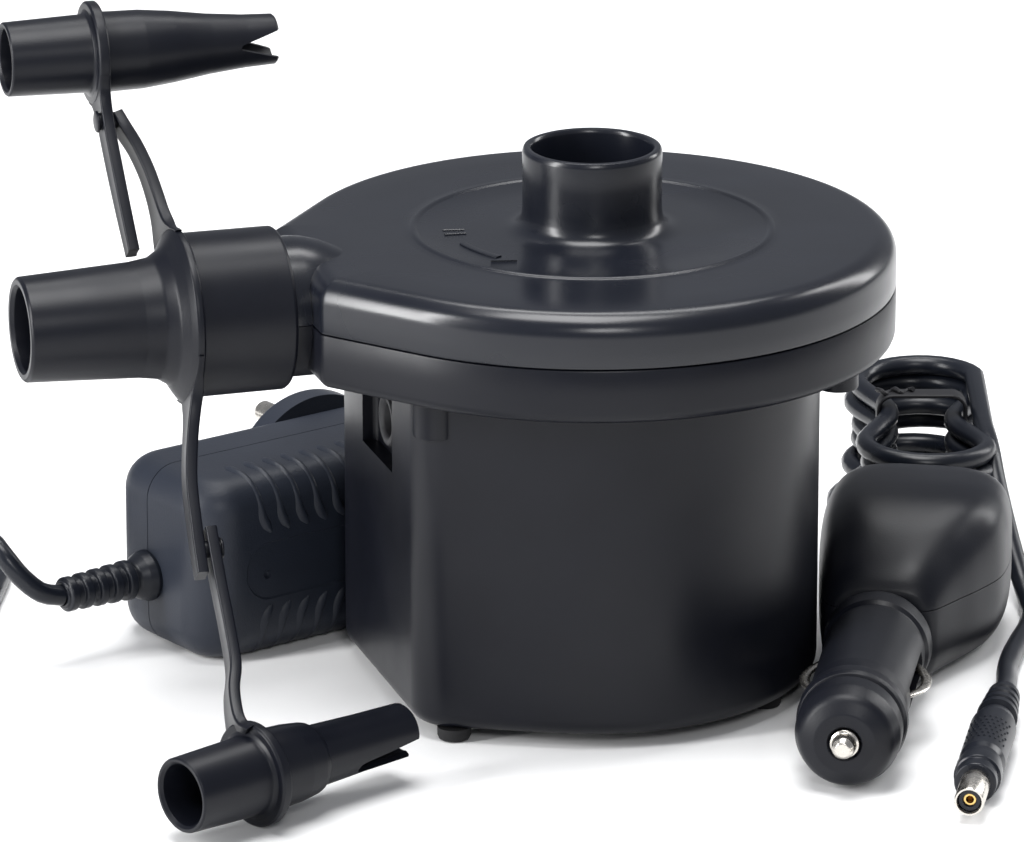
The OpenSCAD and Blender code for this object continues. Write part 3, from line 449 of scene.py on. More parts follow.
CORD_D = 4
LIES = FLOOR + CORD_D / 2
COIL_AT = Vector((-129, 118, 0))
COIL_OUT, COIL_IN = 31, 15
AC_ROUTE = [(-95.43, 32.59, 12), (-99.6, 31.5, 13.4), (-103.4, 31.9, 16.8), (-106.2, 33.8, 20.6),
            (-107.6, 37.4, 22.4), (-107.9, 42, 20.4), (-107.4, 47.4, 14.4), (-106.2, 53.4, 7.4), (-104.2, 60.4, 1.8),
            (-101.6, 67.6, -0.4), (-98.6, 75, -0.5), (-95.2, 84, -0.5), (-92.9, 94, -0.5), (-92.8, 104, -0.5), (-93.9, 113, -0.5), (-94.6, 122, -0.5)]
AC_TAIL = [(-161, 118, 3.5), (-161.4, 111, 2.6), (-161.8, 104, 1.9), (-162, 98, 2)]
CAR_FEED = [(65.8, 21.3, 9.5), (65.9, 28, 6.5), (65.7, 35.3, 2.5), (66.7, 44.4, -0.5)]
CAR_ROUTE = [(96.7, 46.8, 23.5), (94.6, 37.5, 22), (93, 28.5, 16.5), (92.6, 20, 8.5), (92.5, 12, 1.8),
             (91, 4, -0.5), (87.6, -4, -0.5), (83, -11.5, -0.5), (78.5, -19, -0.5), (74.5, -27, -0.3),
             (71, -36, 0.7), (67, -45.5, 2)]


def coil_line():
    """In along the floor, up one diameter at the inside, and out again on top. Two layers of turns."""
    pitch_turns = (COIL_OUT - COIL_IN) / CORD_D
    line = []
    steps = 48

    def spot(angle, r, z):
        line.append(COIL_AT + Vector((r * math.cos(angle), r * math.sin(angle), z)))

    start = math.radians(60)
    for k in range(12):
        t = k / 12
        spot(math.radians(14) + (start - math.radians(14)) * t, 34 - 3 * t, LIES)
    count = int(pitch_turns * steps)
    for k in range(count):
        spot(start + TAU * k / steps, COIL_OUT - CORD_D * k / steps, LIES)
    for k in range(steps):
        t = k / steps
        spot(start + TAU * k / steps, COIL_IN, LIES + CORD_D * (3 * t * t - 2 * t ** 3))
    for k in range(count):
        spot(start + TAU * k / steps, COIL_IN + CORD_D * k / steps, LIES + CORD_D)
    for k in range(16):
        t = k / 16
        spot(start + math.radians(120) * t, COIL_OUT + t, LIES + CORD_D)
    return line


def hank_line():
    """One wide turn on the floor, then narrower turns stacked on each other, held by the tie."""
    line = []
    run, far_r, r = 17, 16, 12
    steps = 14
    turns = 7

    def spot(x, y, z, at, reach):
        """A point of the plain turns, drawn in at the tie, and swung and shifted as hand-wound turns are."""
        held = math.cos(math.pi * x / 38) ** 2 if abs(x) < 19 else 0
        waist = 11.2 if at < 1 else 6.5
        y *= 1 - (1 - waist / reach) * held
        loose = math.sin(math.pi * at / (turns + 0.5))
        a = math.radians(5.5) * loose * math.sin(2.3 * at)
        x += 2.2 * loose * math.sin(3.1 * at + 0.6)
        line.append(HANK_PLACE @ Vector((x * math.cos(a) - y * math.sin(a), x * math.sin(a) + y * math.cos(a), z)))

    z = CORD_D / 2
    rise = CORD_D / (4 * steps)
    radius, goal = far_r, far_r
    for turn in range(turns + 1):
        climb = 0 if turn == 0 else rise
        goal = far_r if turn == 0 else r
        for quarter in range(4):
            if turn == turns and quarter == 2:
                return line
            for k in range(steps):
                t = k / steps
                at = turn + (quarter + t) / 4
                if quarter == 0:
                    spot(-run + 2 * run * t, radius, z, at, radius)
                elif quarter == 1:
                    a = math.pi / 2 - math.pi * t
                    spot(run + radius * math.cos(a), radius * math.sin(a), z, at, radius)
                elif quarter == 2:
                    spot(run - 2 * run * t, -radius, z, at, radius)
                else:
                    blend = radius + ((r - radius) * (3 * t * t - 2 * t ** 3) if turn == 0 else 0)
                    a = -math.pi / 2 - math.pi * t
                    spot(-run + blend * math.cos(a), blend * math.sin(a), z, at, blend)
                z += climb
        radius = r
    return line


def make_leads():
    ac_line = smooth_line(AC_ROUTE)[:-1] + coil_line() + smooth_line(AC_TAIL)[1:]
    ac = as_cord("ac_lead", ac_line, CORD_D)
    finish_piece(ac, "cable_black", "ac_adapter", "ac_cord", "ac_cord_coil")
    car_line = smooth_line(CAR_FEED)[:-1] + hank_line() + smooth_line(CAR_ROUTE)
    car = as_cord("car_lead", car_line, CORD_D)
    finish_piece(car, "cable_black", "car_adapter", "car_cord_feed", "car_cord_hank", "car_cord_tail")
    return ac, ac_line, car, car_line


ac_lead, ac_line, car_lead, car_line = make_leads()


# ---------------------------------------------------------------- the low-voltage plugs
def make_plug(prefix, place, body):
    """Ribbed relief, dotted grip with a ring, and the hollow barrel with its insulator."""
    axis = place @ Matrix.Translation((0, 0, 4.5))
    relief = [(2.05, 0), (2.6, 0)]
    for k in range(4):
        x, r = 1.4 + 3.4 * k, 3.1 + 0.25 * k
        relief += [(2.6 + 0.1 * k, x), (r, x + 0.3), (r, x + 1.7), (2.6 + 0.1 * k, x + 2)]
    grip = relief + rounded([(3, 15.2), (3.6, 15.6, 0.3), (4.3, 19, 1.5), (4.3, 37, 0.6), (3.9, 38.6, 0.4),
                             (3.9, 41, 0.2), (4.35, 41.2, 0.3), (4.35, 44.6, 0.3), (3.9, 44.9, 0.2),
                             (3.9, 48, 0.4), (2.2, 48, 0)])
    body_piece = lathe(prefix + "_plug_grip_skin", grip, axis, "X", 64)
    pieces = [body_piece]
    for row in range(7):
        for k in range(26):
            angle = TAU * (k + 0.5 * (row % 2)) / 26
            if abs(math.sin(angle)) > 0.85:
                continue
            spot = axis @ Matrix.Translation((24 + 1.7 * row, 4.25 * math.sin(angle), 4.25 * math.cos(angle)))
            dot = bpy.data.meshes.new("dot")
            work = bmesh.new()
            bmesh.ops.create_icosphere(work, subdivisions=1, radius=0.32)
            work.to_mesh(dot)
            work.free()
            dot.transform(spot)
            dot.transform(Matrix.Scale(MM, 4))
            pieces.append(linked("dot", dot))
    grip_piece = finish_piece(join(prefix + "_plug_body", pieces), "cable_black", body, prefix + "_plug_grip")
    barrel = [(2.1, 47.5), (2.75, 47.5), (2.75, 57.2), (2.6, 57.55), (2.3, 57.55), (2.15, 57.2), (2.15, 49), (2.1, 47.5)]
    metal_piece = finish_piece(lathe(prefix + "_plug_sleeve", barrel, axis, "X", 48), "nickel", body,
                               prefix + "_plug_barrel")
    core = [(1.1, 48), (2.14, 48), (2.14, 56.4), (1.95, 56.7), (1.3, 56.7), (1.1, 56.4), (1.1, 48)]
    core_piece = finish_piece(lathe(prefix + "_plug_insulator", core, axis, "X", 48), "cable_black", body)
    inner = sleeve_line(0.75, 1.09, 49, 56.2)
    brass_piece = finish_piece(lathe(prefix + "_plug_brass", inner, axis, "X", 32), "brass", body)
    back = finish_piece(lathe(prefix + "_plug_back", rod_line(2.1, 48.5, 49.5),
                              axis, "X", 24), "brass", body)
    return [grip_piece, metal_piece, core_piece, brass_piece, back]


ac_plug = make_plug("ac", AC_PLUG_PLACE, "ac_adapter")
car_plug = make_plug("car", CAR_PLUG_PLACE, "car_adapter")

# ---------------------------------------------------------------- the pump's shells
def unit(degrees):
    return Vector((math.cos(math.radians(degrees)), math.sin(math.radians(degrees))))


def polar_spot(r, angle):
    return Matrix.Translation(unit(angle).to_3d() * r)


BOSSES_AT = (214, 334, 94)


def straight(a, b, count):
    """Points between a and b, without either end."""
    return [a.lerp(b, (k + 1) / (count + 1)) for k in range(count)]


def plan_of(big_r, corner, corner_r, turn, inset, arc=168, bend=10, side=10, face=12):
    """A circle drawn out to a flat face at -X. corner is its upper corner circle, turn the tangents' angle."""
    reach = max(corner_r, inset + 0.05)
    normal = unit(turn)
    flat = corner.x - corner_r
    x = flat + reach
    y = (big_r - reach - normal.x * x) / normal.y
    r = reach - inset
    points = [unit(-turn + 2 * turn * k / arc) * (big_r - inset) for k in range(arc + 1)]
    upper = [Vector((x, y)) + unit(turn + (180 - turn) * k / bend) * r for k in range(bend + 1)]
    lower = [Vector((p.x, -p.y)) for p in reversed(upper)]
    points += straight(points[-1], upper[0], side) + upper + straight(upper[-1], lower[0], face) + lower
    return points + straight(lower[-1], points[0], side)


def head_plan(inset):
    return plan_of(57, Vector((-55.5, 0)), 2.5, 140.93, inset)


def body_plan(inset):
    return plan_of(43, Vector((-33, 21.5)), 9, 116.6, inset, arc=120, bend=14)


def ring_at(points, z):
    return [Vector((p.x, p.y, z)) for p in points]


def round_ring(like, r, z):
    """A circle whose points have the angles of another ring's."""
    return [Vector((p.x, p.y, 0)).normalized() * r + Vector((0, 0, z)) for p in like]


def quarter(start, end, steps=7, bulge_first="height"):
    """A quarter turn between two (inset, height) points that leaves along the height or the inset."""
    points = []
    for k in range(steps + 1):
        a = math.pi / 2 * k / steps
        if bulge_first == "height":
            points.append((start[0] + (end[0] - start[0]) * (1 - math.cos(a)), start[1] + (end[1] - start[1]) * math.sin(a)))
        else:
            points.append((start[0] + (end[0] - start[0]) * math.sin(a), start[1] + (end[1] - start[1]) * (1 - math.cos(a))))
    return points


def shade(piece, sharp=35):
    """Smooth faces with sharp edges marked by angle, after a boolean."""
    work = bmesh.new()
    work.from_mesh(piece.data)
    bmesh.ops.remove_doubles(work, verts=work.verts, dist=2e-6)
    bmesh.ops.dissolve_degenerate(work, edges=work.edges, dist=2e-6)
    smooth_into(piece.data, work, sharp)
    return piece


def half_tube(name, upper, xs_outer_inner):
    """Half of the outlet's tube, above or below the seam, from (x, outer radius, inner radius) triples."""
    sign = 1 if upper else -1
    gap = 0.08
    rings = []
    for x, outer, inner in xs_outer_inner:
        ring = []
        for k in range(33):
            a = math.pi * k / 32
            ring.append(Vector((x, outer * math.cos(a), SEAM_Z + sign * max(outer * math.sin(a), gap))))
        for k in range(33):
            a = math.pi * (1 - k / 32)
            ring.append(Vector((x, inner * math.cos(a), SEAM_Z + sign * max(inner * math.sin(a), gap))))
        rings.append(ring)
    return skinned(name, rings)


def bore_cutter(top, bottom, x0, x1, r=11.3):
    outline = [Vector((r * math.cos(TAU * k / 72), max(min(r * math.sin(TAU * k / 72), top - SEAM_Z), bottom - SEAM_Z)))
               for k in range(72)]
    rings = [[Vector((x, p.x, SEAM_Z + p.y)) for p in outline] for x in (x0, x1)]
    return skinned("bore_cutter", rings)


def make_cover():
    outer = [(0.4, 76.12), (0.12, 76.2), (0, 76.45), (0, 79), (0, 81.7)] + quarter((0, 81.7), (4.5, 86.2), 10)[1:]
    rings = [ring_at(head_plan(inset), z) for inset, z in outer]
    like = rings[-1]
    for r, z in ((46, 86.2), (36, 86.2), (34.5, 86.2), (34.2, 86.3), (33.95, 86.52), (33.5, 86.6), (33.05, 86.52),
                 (32.8, 86.3), (32.5, 86.2), (24, 86.2), (17.6, 86.2), (16.2, 86.26), (15.1, 86.5), (14.3, 86.95),
                 (13.7, 87.6), (13.3, 88.4), (13.12, 89.4), (13.05, 91), (13.05, 96), (13.1, 100.9), (13.0, 101.45),
                 (12.75, 101.85), (12.35, 102), (12.0, 102), (11.65, 101.9), (11.42, 101.6), (11.3, 101.1), (11.3, 94),
                 (11.3, 85), (30, 85), (54.4, 85), (54.4, 76.12)):
        rings.append(round_ring(like, r, z))
    cover = skinned("cover_skin", rings, loop=True)
    cut(cover, bore_cutter(84.8, 70, -60, -45))
    shade(cover)
    tube = half_tube("outlet_top", True, [(-76, 12.9, 11.5), (-75.7, 13.1, 11.3),
                                          (-70, 13.1, 11.3), (-64, 13.1, 11.3), (-58, 13.1, 11.3), (-56, 12.9, 10.6),
                                          (-53, 12.2, 9.4), (-50, 10.9, 8.4), (-47.8, 9.7, 8.2)])
    lugs = [tube]
    for angle in BOSSES_AT:
        lugs.append(lathe("lug", sleeve_line(1.2, 3, 77, 84.9), polar_spot(46.5, angle), sides=32))
    finish_piece(join("upper_cover_skin", [cover] + lugs), "cover_gloss_black", "pump", "upper_cover")


def make_arrow():
    """A raised arrow round the inlet and two short bars, generic marks of the air's way."""
    pieces = []
    line = ring_at([unit(a) * 26.5 for a in range(188, 214, 2)], 86.25)
    pieces.append(swept("arrow_shaft", line, lambda t: ribbon_section(1.5, 0.5, 0.2, 3)))
    tip, back, side_a, side_b = (unit(221) * 26.5, unit(215) * 26.5, unit(213.5) * 29.6, unit(213.5) * 23.4)
    pieces.append(skinned("arrow_head", [ring_at((tip, side_b, back, side_a), z) for z in (86.1, 86.5)]))
    for angle in (168, 174):
        line = ring_at([unit(angle) * r for r in (24, 26, 28)], 86.25)
        pieces.append(swept("bar", line, lambda t: ribbon_section(0.9, 0.5, 0.2, 3)))
    finish_piece(join("flow_marks", pieces), "cover_gloss_black", "pump")


def make_volute():
    outer = quarter((2.2, 65.5), (0, 67.7), 6, "inset") + [(0, 71), (0, 75.6), (0.12, 75.82), (0.4, 75.9)]
    rings = [ring_at(head_plan(inset), z) for inset, z in outer]
    like = rings[-1]
    for r, z in ((54.4, 75.9), (54.4, 67.5), (30, 67.5), (8, 67.5), (8, 65.5), (30, 65.5)):
        rings.append(round_ring(like, r, z))
    volute = skinned("volute_skin", rings, loop=True)
    cut(volute, bore_cutter(80, 67.2, -60, -45))
    shade(volute)
    pieces = [volute, half_tube("outlet_bottom", False, [(-75.99, 12.85, 11.5), (-75.7, 13.1, 11.3), (-66, 13.1, 11.3),
                                                         (-57, 13.1, 11.3), (-44.5, 13.1, 11.3), (-42.7, 12.9, 11.5)])]
    boss = [(1.5, 60), (2.9, 60), (2.9, 57.2), (3.1, 57), (3.5, 57), (3.85, 57.15), (4, 57.5), (4, 64.6), (4.3, 65.2),
            (5, 65.6), (5, 66.5), (1.5, 66.5), (1.5, 60)]
    for angle in BOSSES_AT:
        pieces.append(lathe("boss", boss, polar_spot(46.5, angle), sides=48))
    pieces.append(lathe("bearing_seat", sleeve_line(8.2, 13, 63, 66), sides=72))
    finish_piece(join("volute_and_bosses", pieces), "shell_satin_black", "pump", "lower_volute")


def make_body():
    outer = [(8, 0), (3.4, 0)] + quarter((3.4, 0), (0, 3.4), 7, "inset")[1:] + [(0, 20), (0, 44), (0, 65.1), (0.3, 65.45)]
    inner = [(2.0, 65.45), (2.2, 65.2), (2.2, 30), (2.2, 2.4)]
    rings = [ring_at(body_plan(inset), z) for inset, z in outer + inner]
    body = skinned("body_skin", rings)
    pocket = rounded([(-43.5, -10, 0), (-39, -10, 1.2), (-39, 10, 1.2), (-43.5, 10, 0)])
    wall = prism("pocket_wall", [Vector(p) for p in ((-41, -12.2), (-36.4, -12.2), (-36.4, 12.2), (-41, 12.2))],
                 [(0, 42.6), (0, 65.2)])
    cut(body, wall, "UNION")
    cut(body, skinned("pocket_cutter", [ring_at(pocket, z) for z in (45, 70)]))
    cut(body, lathe("jack_hole", rod_line(5.05, -45, -30),
                    Matrix.Translation((0, 0, 52)), "X", 48))
    for y in range(-9, 10, 3):
        cut(body, slab("vent", -8, 8, y - 0.7, y + 0.7, -1, 4))
    shade(body)
    posts = [body]
    for angle in (45, 135, 225, 315):
        spot = polar_spot(34, angle)
        cut(body, lathe("screw_hole", rod_line(3, -1, 1.9), spot, sides=32))
        posts.append(lathe("post", sleeve_line(1.6, 3.6, 1.9, 65.2), spot, sides=32))
    shade(body)
    finish_piece(join("body_skin", posts), "shell_satin_black", "pump", "body_shell")


def make_feet():
    feet = []
    for x, y in ((-35, 26.5), (-35, -26.5), (26, 26.5), (26, -26.5)):
        outline = [(0.01, FLOOR), (2.2, FLOOR), (2.85, FLOOR + 0.25), (3.15, FLOOR + 0.9), (3.2, -0.3), (3.2, 0.05), (0.01, 0.05)]
        feet.append(lathe("foot", outline, Matrix.Translation((x, y, 0)), sides=40))
    finish_piece(join("feet_rubber", feet), "rubber_black", "pump", "rubber_feet")


def make_socket():
    """The socket's moulded rim round the bore, with its dished front."""
    outline = [(3.05, -30.9), (3.05, -39.6), (3.4, -40.1), (4.2, -40.4), (4.7, -40.35), (5, -40), (5, -31), (3.05, -30.9)]
    rim = lathe("socket_rim", outline, Matrix.Translation((0, 0, 52)), "X", 64)
    block = slab("socket_block", -30.9, -27.3, -5.6, 5.6, 46.4, 57.6)
    finish_piece(join("socket_moulding", [rim, block]), "end_cap_plastic", "pump", "jack_housing")


# ---------------------------------------------------------------- the nozzles
def strap_piece(name, path, section):
    """A strap that lies in a plane of constant X or nearly so: path is (x, y, z, width, thickness)."""
    samples = smooth_line([Vector(p[:3]) for p in path], 0.8)
    sizes = smooth_sizes([p[:3] for p in path], [p[3:5] for p in path], 0.8)
    rings = []
    n = len(samples)
    for i, p in enumerate(samples):
        ahead = (samples[min(i + 1, n - 1)] - samples[max(i - 1, 0)]).normalized()
        across = ahead.cross(Vector((1, 0, 0))).normalized()
        over = across.cross(ahead)
        width, thick = sizes[i]
        rings.append([p + across * a + over * b for a, b in section(width, thick)])
    return skinned(name, rings)


def smooth_sizes(points, sizes, step):
    """Tuples of sizes that follow a Catmull-Rom curve, one for each of smooth_line's points."""
    points = [Vector(p) for p in points]
    padded = [sizes[0]] + list(sizes) + [sizes[-1]]
    result = []
    for i in range(len(points) - 1):
        count = max(2, int((points[i + 1] - points[i]).length / step))
        for k in range(count):
            result.append(tuple(catmull(*four, k / count) for four in zip(*padded[i:i + 4])))
    return result + [tuple(sizes[-1])]


def rimmed_section(width, thick):
    """A flat strap whose two long edges are slightly raised and rounded."""
    w, h, r = width / 2, thick / 2, min(0.45, thick / 2.5)
    points = []
    for cx, cy, start in ((1, 1, 0), (-1, 1, 90), (-1, -1, 180), (1, -1, 270)):
        for k in range(4):
            a = math.radians(start + 30 * k)
            points.append((cx * (w - r) + r * math.cos(a), cy * (h - r) + r * math.sin(a)))
        if start == 0:
            points += [(w - 1.1, h - 0.14), (0, h - 0.14), (1.1 - w, h - 0.14)] if w > 1.6 else [(0.2, h), (0, h), (-0.2, h)]
        if start == 180:
            points += [(1.1 - w, 0.14 - h), (0, 0.14 - h), (w - 1.1, 0.14 - h)] if w > 1.6 else [(-0.2, -h), (0, -h), (0.2, -h)]
    return points


def strap_path(points, side, thick=2.2):
    """Strap stations from (distance from the axis, x, width), to one side of the outlet."""
    path = []
    for t, x, width in points:
        y, z = along_strap(side * t)
        path.append((x, y, z, width, thick))
    return path


def peg_piece(x, side_t, direction):
    y, z = along_strap(side_t)
    outline = [(0.01, 0.3), (1.5, 0.3), (1.9, 0.42), (2.05, 0.65), (2.0, 0.85), (1.6, 0.9), (1.6, 4.1), (1.3, 4.4), (0.01, 4.4)]
    flip = Matrix.Identity(4) if direction > 0 else Matrix.Rotation(math.pi, 4, "Z")
    return lathe("peg", outline, Matrix.Translation((x, y, z)) @ flip, "X", 32)


def make_main_nozzle():
    outline = rounded([
        (8.3, -109.95, 0), (9.3, -110, 0.45), (9.78, -109.5, 0.5), (10.75, -88.5, 3), (11.3, -84.8, 2.2), (12.7, -82.6, 1.8),
        (15, -81.2, 1.4), (16.2, -80.35, 0.5), (16.3, -79.9, 0.3), (16.3, -79.2, 0.3), (15.9, -78.95, 0.2), (15.25, -78.8, 0.3),
        (15.2, -61.6, 0.6), (14.75, -61, 0.4), (13.5, -61, 0.2), (13.17, -61.4, 0), (13.17, -77, 0), (11.3, -77, 0.3),
        (11.3, -80.5, 2), (8.75, -86, 3), (7.8, -109.2, 0.3), (8.3, -109.95, 0)])
    tube = lathe("main_tube", outline, Matrix.Translation((0, 0, SEAM_Z)), "X", 144, sharp=50)
    up = strap_path([(12.6, -79.75, 22), (14.6, -79.8, 15.5), (17, -79.85, 10.5), (20, -80, 7.4), (24, -80.3, 5.8),
                     (29, -81, 5), (34, -82.3, 4.8), (38, -83.9, 5), (41, -84.9, 4.4)], 1)
    down = strap_path([(12.6, -79.8, 22), (14.6, -79.85, 15.5), (17, -80.2, 10.5), (20, -80.9, 7.4), (25, -82.1, 5.6),
                       (33, -83.6, 4.8), (42, -84.2, 4.6), (48, -84.45, 4.4), (51, -84.5, 4.2)], -1)
    up[0], up[1] = (*up[0][:4], 1.3), (*up[1][:4], 1.4)
    down[0], down[1] = (*down[0][:4], 1.3), (*down[1][:4], 1.4)
    pieces = [tube, strap_piece("arm_up", up, rimmed_section), strap_piece("arm_down", down, rimmed_section),
              peg_piece(-89.3, 40, 1), peg_piece(-79.4, -46, -1)]
    finish_piece(join("main_nozzle_skin", pieces), "nozzle_black", "main_nozzle", "main_nozzle")


def small_nozzle(name, front, bore, place, notch):
    """A stepped small nozzle along +X with its ring at the place's origin. notch is (x of its bottom, roll)."""
    outline = [(6.2, -16.95, 0), (6.7, -17, 0.25), (6.95, -16.7, 0.25), (7.35, -2.2, 0), (7.45, -1.5, 0.5), (8.2, -1.1, 0.5),
               (9.35, -1.1, 0.3), (9.7, -0.75, 0.3), (9.7, 0.75, 0.3), (9.35, 1.1, 0.3), (7.6, 1.15, 0.4)]
    outline += [(r, x, 1.2) for x, r in front]
    end_x, end_r = front[-1]
    outline[-1] = (end_r, end_x - 0.4, 0.2)
    outline += [(end_r - 0.35, end_x, 0.1), (bore[-1][1] + 0.15, end_x, 0.1)]
    outline += [(r, x, 0.5) for x, r in reversed(bore)]
    outline += [(5.6, 2, 0.5), (5.7, -16.4, 0.3), (6.2, -16.95, 0)]
    tube = lathe(name, rounded(outline), place, "X", 96, sharp=45)
    bottom, roll, half_low, half_high = notch
    spot = place @ Matrix.Rotation(math.radians(roll), 4, "X")
    turns = [math.pi * k / 12 for k in range(13)]
    round_end = [(bottom - half_low * math.sin(a), half_low * math.cos(a)) for a in turns]
    outline = [(38, half_high)] + round_end + [(38, -half_high)]
    rings = [[Vector((x, y, z)) for x, z in outline] for y in (-9, 9)]
    cut(tube, skinned("notch", rings, spot))
    return shade(tube, 40)


def make_upper_nozzle():
    y, z = along_strap(54)
    place = Matrix.Translation((-87, y, z))
    tube = small_nozzle("upper_tube", [(4, 7.5), (9, 7.4), (15, 6.75), (22, 5.7), (29, 5.0), (35, 4.75)],
                        [(8, 5.5), (22, 3.9), (34.9, 3.7)], place, (28, 0, 0.6, 3.6))
    path = strap_path([(46.5, -87, 12.5), (45, -87, 9), (43, -87, 7), (40, -87, 5.8), (36, -87.0, 5.4), (30, -86.9, 5.2),
                       (22, -86.7, 4.6), (13.2, -86.4, 3.8)], 1)
    strap = strap_piece("upper_strap", path, rimmed_section)
    finish_piece(join("upper_nozzle_skin", [tube, strap]), "nozzle_black", "upper_nozzle", "upper_nozzle")


def make_lower_nozzle():
    place = Matrix.Translation((-82, -58.5, 7.2)) @ Matrix.Rotation(math.radians(24), 4, "Z")
    tube = small_nozzle("lower_tube", [(4, 7.5), (8, 7.3), (11.6, 6.8), (12.6, 6.5), (13, 5.75), (24, 5.3), (35, 5.05)],
                        [(8, 5.2), (13, 4.3), (34.9, 3.95)], place, (22, 35, 1.3, 3.0))
    y, z = along_strap(-43.8)
    path = [(-82.9, -55.2, 12.2, 13, 1.9), (-83.6, -54, 13.4, 9.6, 2.1), (-83.9, -52.2, 15.2, 7.4, 2.2), (-83.4, -48.4, 18.9, 6, 2.2),
            (-82, -44.5, 22.6, 5.6, 2.2), (-81.7, -39, 28.6, 5.2, 2.2), (-81.7, -33.5, 34.7, 5.2, 2.2), (-81.7, y - 0.4, z - 0.5, 5.4, 2.2),
            (-81.7, y + 0.9, z + 1.2, 5.2, 2.2)]
    strap = strap_piece("lower_strap", path, rimmed_section)
    finish_piece(join("lower_nozzle_skin", [tube, strap]), "nozzle_black", "lower_nozzle", "lower_nozzle")


make_cover()
make_arrow()
make_volute()
make_body()
make_feet()
make_socket()
make_main_nozzle()
make_upper_nozzle()
make_lower_nozzle()

# ---------------------------------------------------------------- the wall adapter
def round_box(name, x0, x1, y0, y1, z0, z1, corner, edge, place, steps=7):
    outline = rounded([(x0, y0, corner), (x1, y0, corner), (x1, y1, corner), (x0, y1, corner)], closed=True)
    profile = quarter((edge, z0), (0, z0 + edge), steps, "inset") + quarter((0, z1 - edge), (edge, z1), steps)
    return prism(name, outline, profile, place, sharp=60)


def copy_of(piece, name):
    twin = piece.copy()
    twin.data = piece.data.copy()
    twin.name = name
    bpy.context.scene.collection.objects.link(twin)
    return twin


PINS_X, PINS_Z, PIN_GAP = 49, 20.5, 19


def ac_inwards(x, z):
    """A place on the wall adapter's front whose X axis points into the case."""
    return AC_PLACE @ Matrix.Translation((x, 0, z)) @ Matrix.Rotation(math.radians(90), 4, "Z")


def grip_rib(k, low):
    """An S-shaped raised rib that runs over the long edge of the case's front."""
    x = 12.6 + 4.3 * k
    points = [(0, 11, 36.0), (0, 8.6, 36.0), (0.05, 6.2, 35.85), (0.15, 3.6, 34.9), (0.35, 1.5, 33.0), (0.6, 0.35, 30.6),
              (1.1, 0.0, 28.4), (1.9, -0.02, 26.8), (2.8, -0.02, 25.4)]
    if low:
        points = [(a, b, 36 - c) for a, b, c in points]
    line = smooth_line([(x + a, b, c) for a, b, c in points], 0.7)
    rings = []
    n = len(line)
    centre = Vector((x, 14, 18))
    for i, p in enumerate(line):
        ahead = (line[min(i + 1, n - 1)] - line[max(i - 1, 0)]).normalized()
        side = Vector((1, 0, 0)) - ahead * ahead.x
        side.normalize()
        out = side.cross(ahead)
        if out.dot(p - centre) < 0:
            out.negate()
        t = i / (n - 1)
        size = min(1, 8 * t + 0.35, 8 * (1 - t) + 0.35)
        rings.append([p + side * a * size + out * b * size for a, b in
                      ((0.95, -0.6), (0.9, 0.02), (0.6, 0.42), (0.15, 0.56), (-0.3, 0.5), (-0.75, 0.2), (-1.15, -0.05), (-1.2, -0.6))])
    return skinned("rib", rings, AC_PLACE, sharp=70)


def make_ac_case():
    case = round_box("case", 0, 68, 0, 33, 0, 36, 9, 6.5, AC_PLACE, 10)
    cut(case, round_box("hollow", 2, 66, 2, 31, 2, 34, 7, 5, AC_PLACE, 5))
    cut(case, lathe("relief_hole", rod_line(3.4, -3, 6),
                    AC_PLACE @ Matrix.Translation((0, 19.4, 14.5)), "X", 48))
    back = copy_of(case, "case_back")
    cut(case, slab("far_side", -5, 73, 19.3, 45, -5, 45, AC_PLACE))
    cut(back, slab("near_side", -5, 73, -10, 19.5, -5, 45, AC_PLACE))
    label = rounded([(9.6, 11.8, 5.6), (58.4, 11.8, 5.6), (58.4, 23.4, 5.6), (9.6, 23.4, 5.6)], closed=True)
    flip = lambda p, h: Vector((p.x, h, p.y))
    cut(case, prism("label", label, [(0, -1), (0, 0.05), (0.35, 0.35)], AC_PLACE, flip))
    dimple = [(0.01, -1), (0.9, -1), (0.9, 0.4), (0.5, 1.0), (0.01, 1.1)]
    cut(case, lathe("dimple", dimple, ac_inwards(14.6, 16.8), "X", 24))
    shade(case, 40)
    ribs = [grip_rib(k, low) for k in range(11) for low in (False, True)]
    screws_at = [(x, z) for x in (10, 58) for z in (6, 30)]
    post = sleeve_line(1, 2.2, 6, 19.2)
    posts = [lathe("post", post, ac_inwards(x, z), "X", 24) for x, z in screws_at]
    finish_piece(join("ac_case_front_skin", [case] + ribs + posts), "adapter_black", "ac_adapter", "ac_case_front")
    for x, z in screws_at:
        cut(back, lathe("screw_pocket", rod_line(2.1, 29, 40), ac_inwards(x, z), "X", 32))
    nose = rounded([(0.01, 31.5, 0), (17.5, 31.5, 0), (17.5, 37, 1.5), (15.2, 37, 0), (14.9, 36.6, 0), (0.01, 36.6, 0)])
    boss = lathe("nose", nose, ac_inwards(PINS_X, PINS_Z), "X", 96)
    for s in (-1, 1):
        spot = ac_inwards(PINS_X, PINS_Z + PIN_GAP / 2 * s)
        cut(boss, lathe("pin_hole", rod_line(2.22, 24, 40), spot, "X", 32))
    shade(back, 40)
    shade(boss, 40)
    finish_piece(join("ac_case_back_skin", [back, boss]), "adapter_black", "ac_adapter", "ac_case_back")


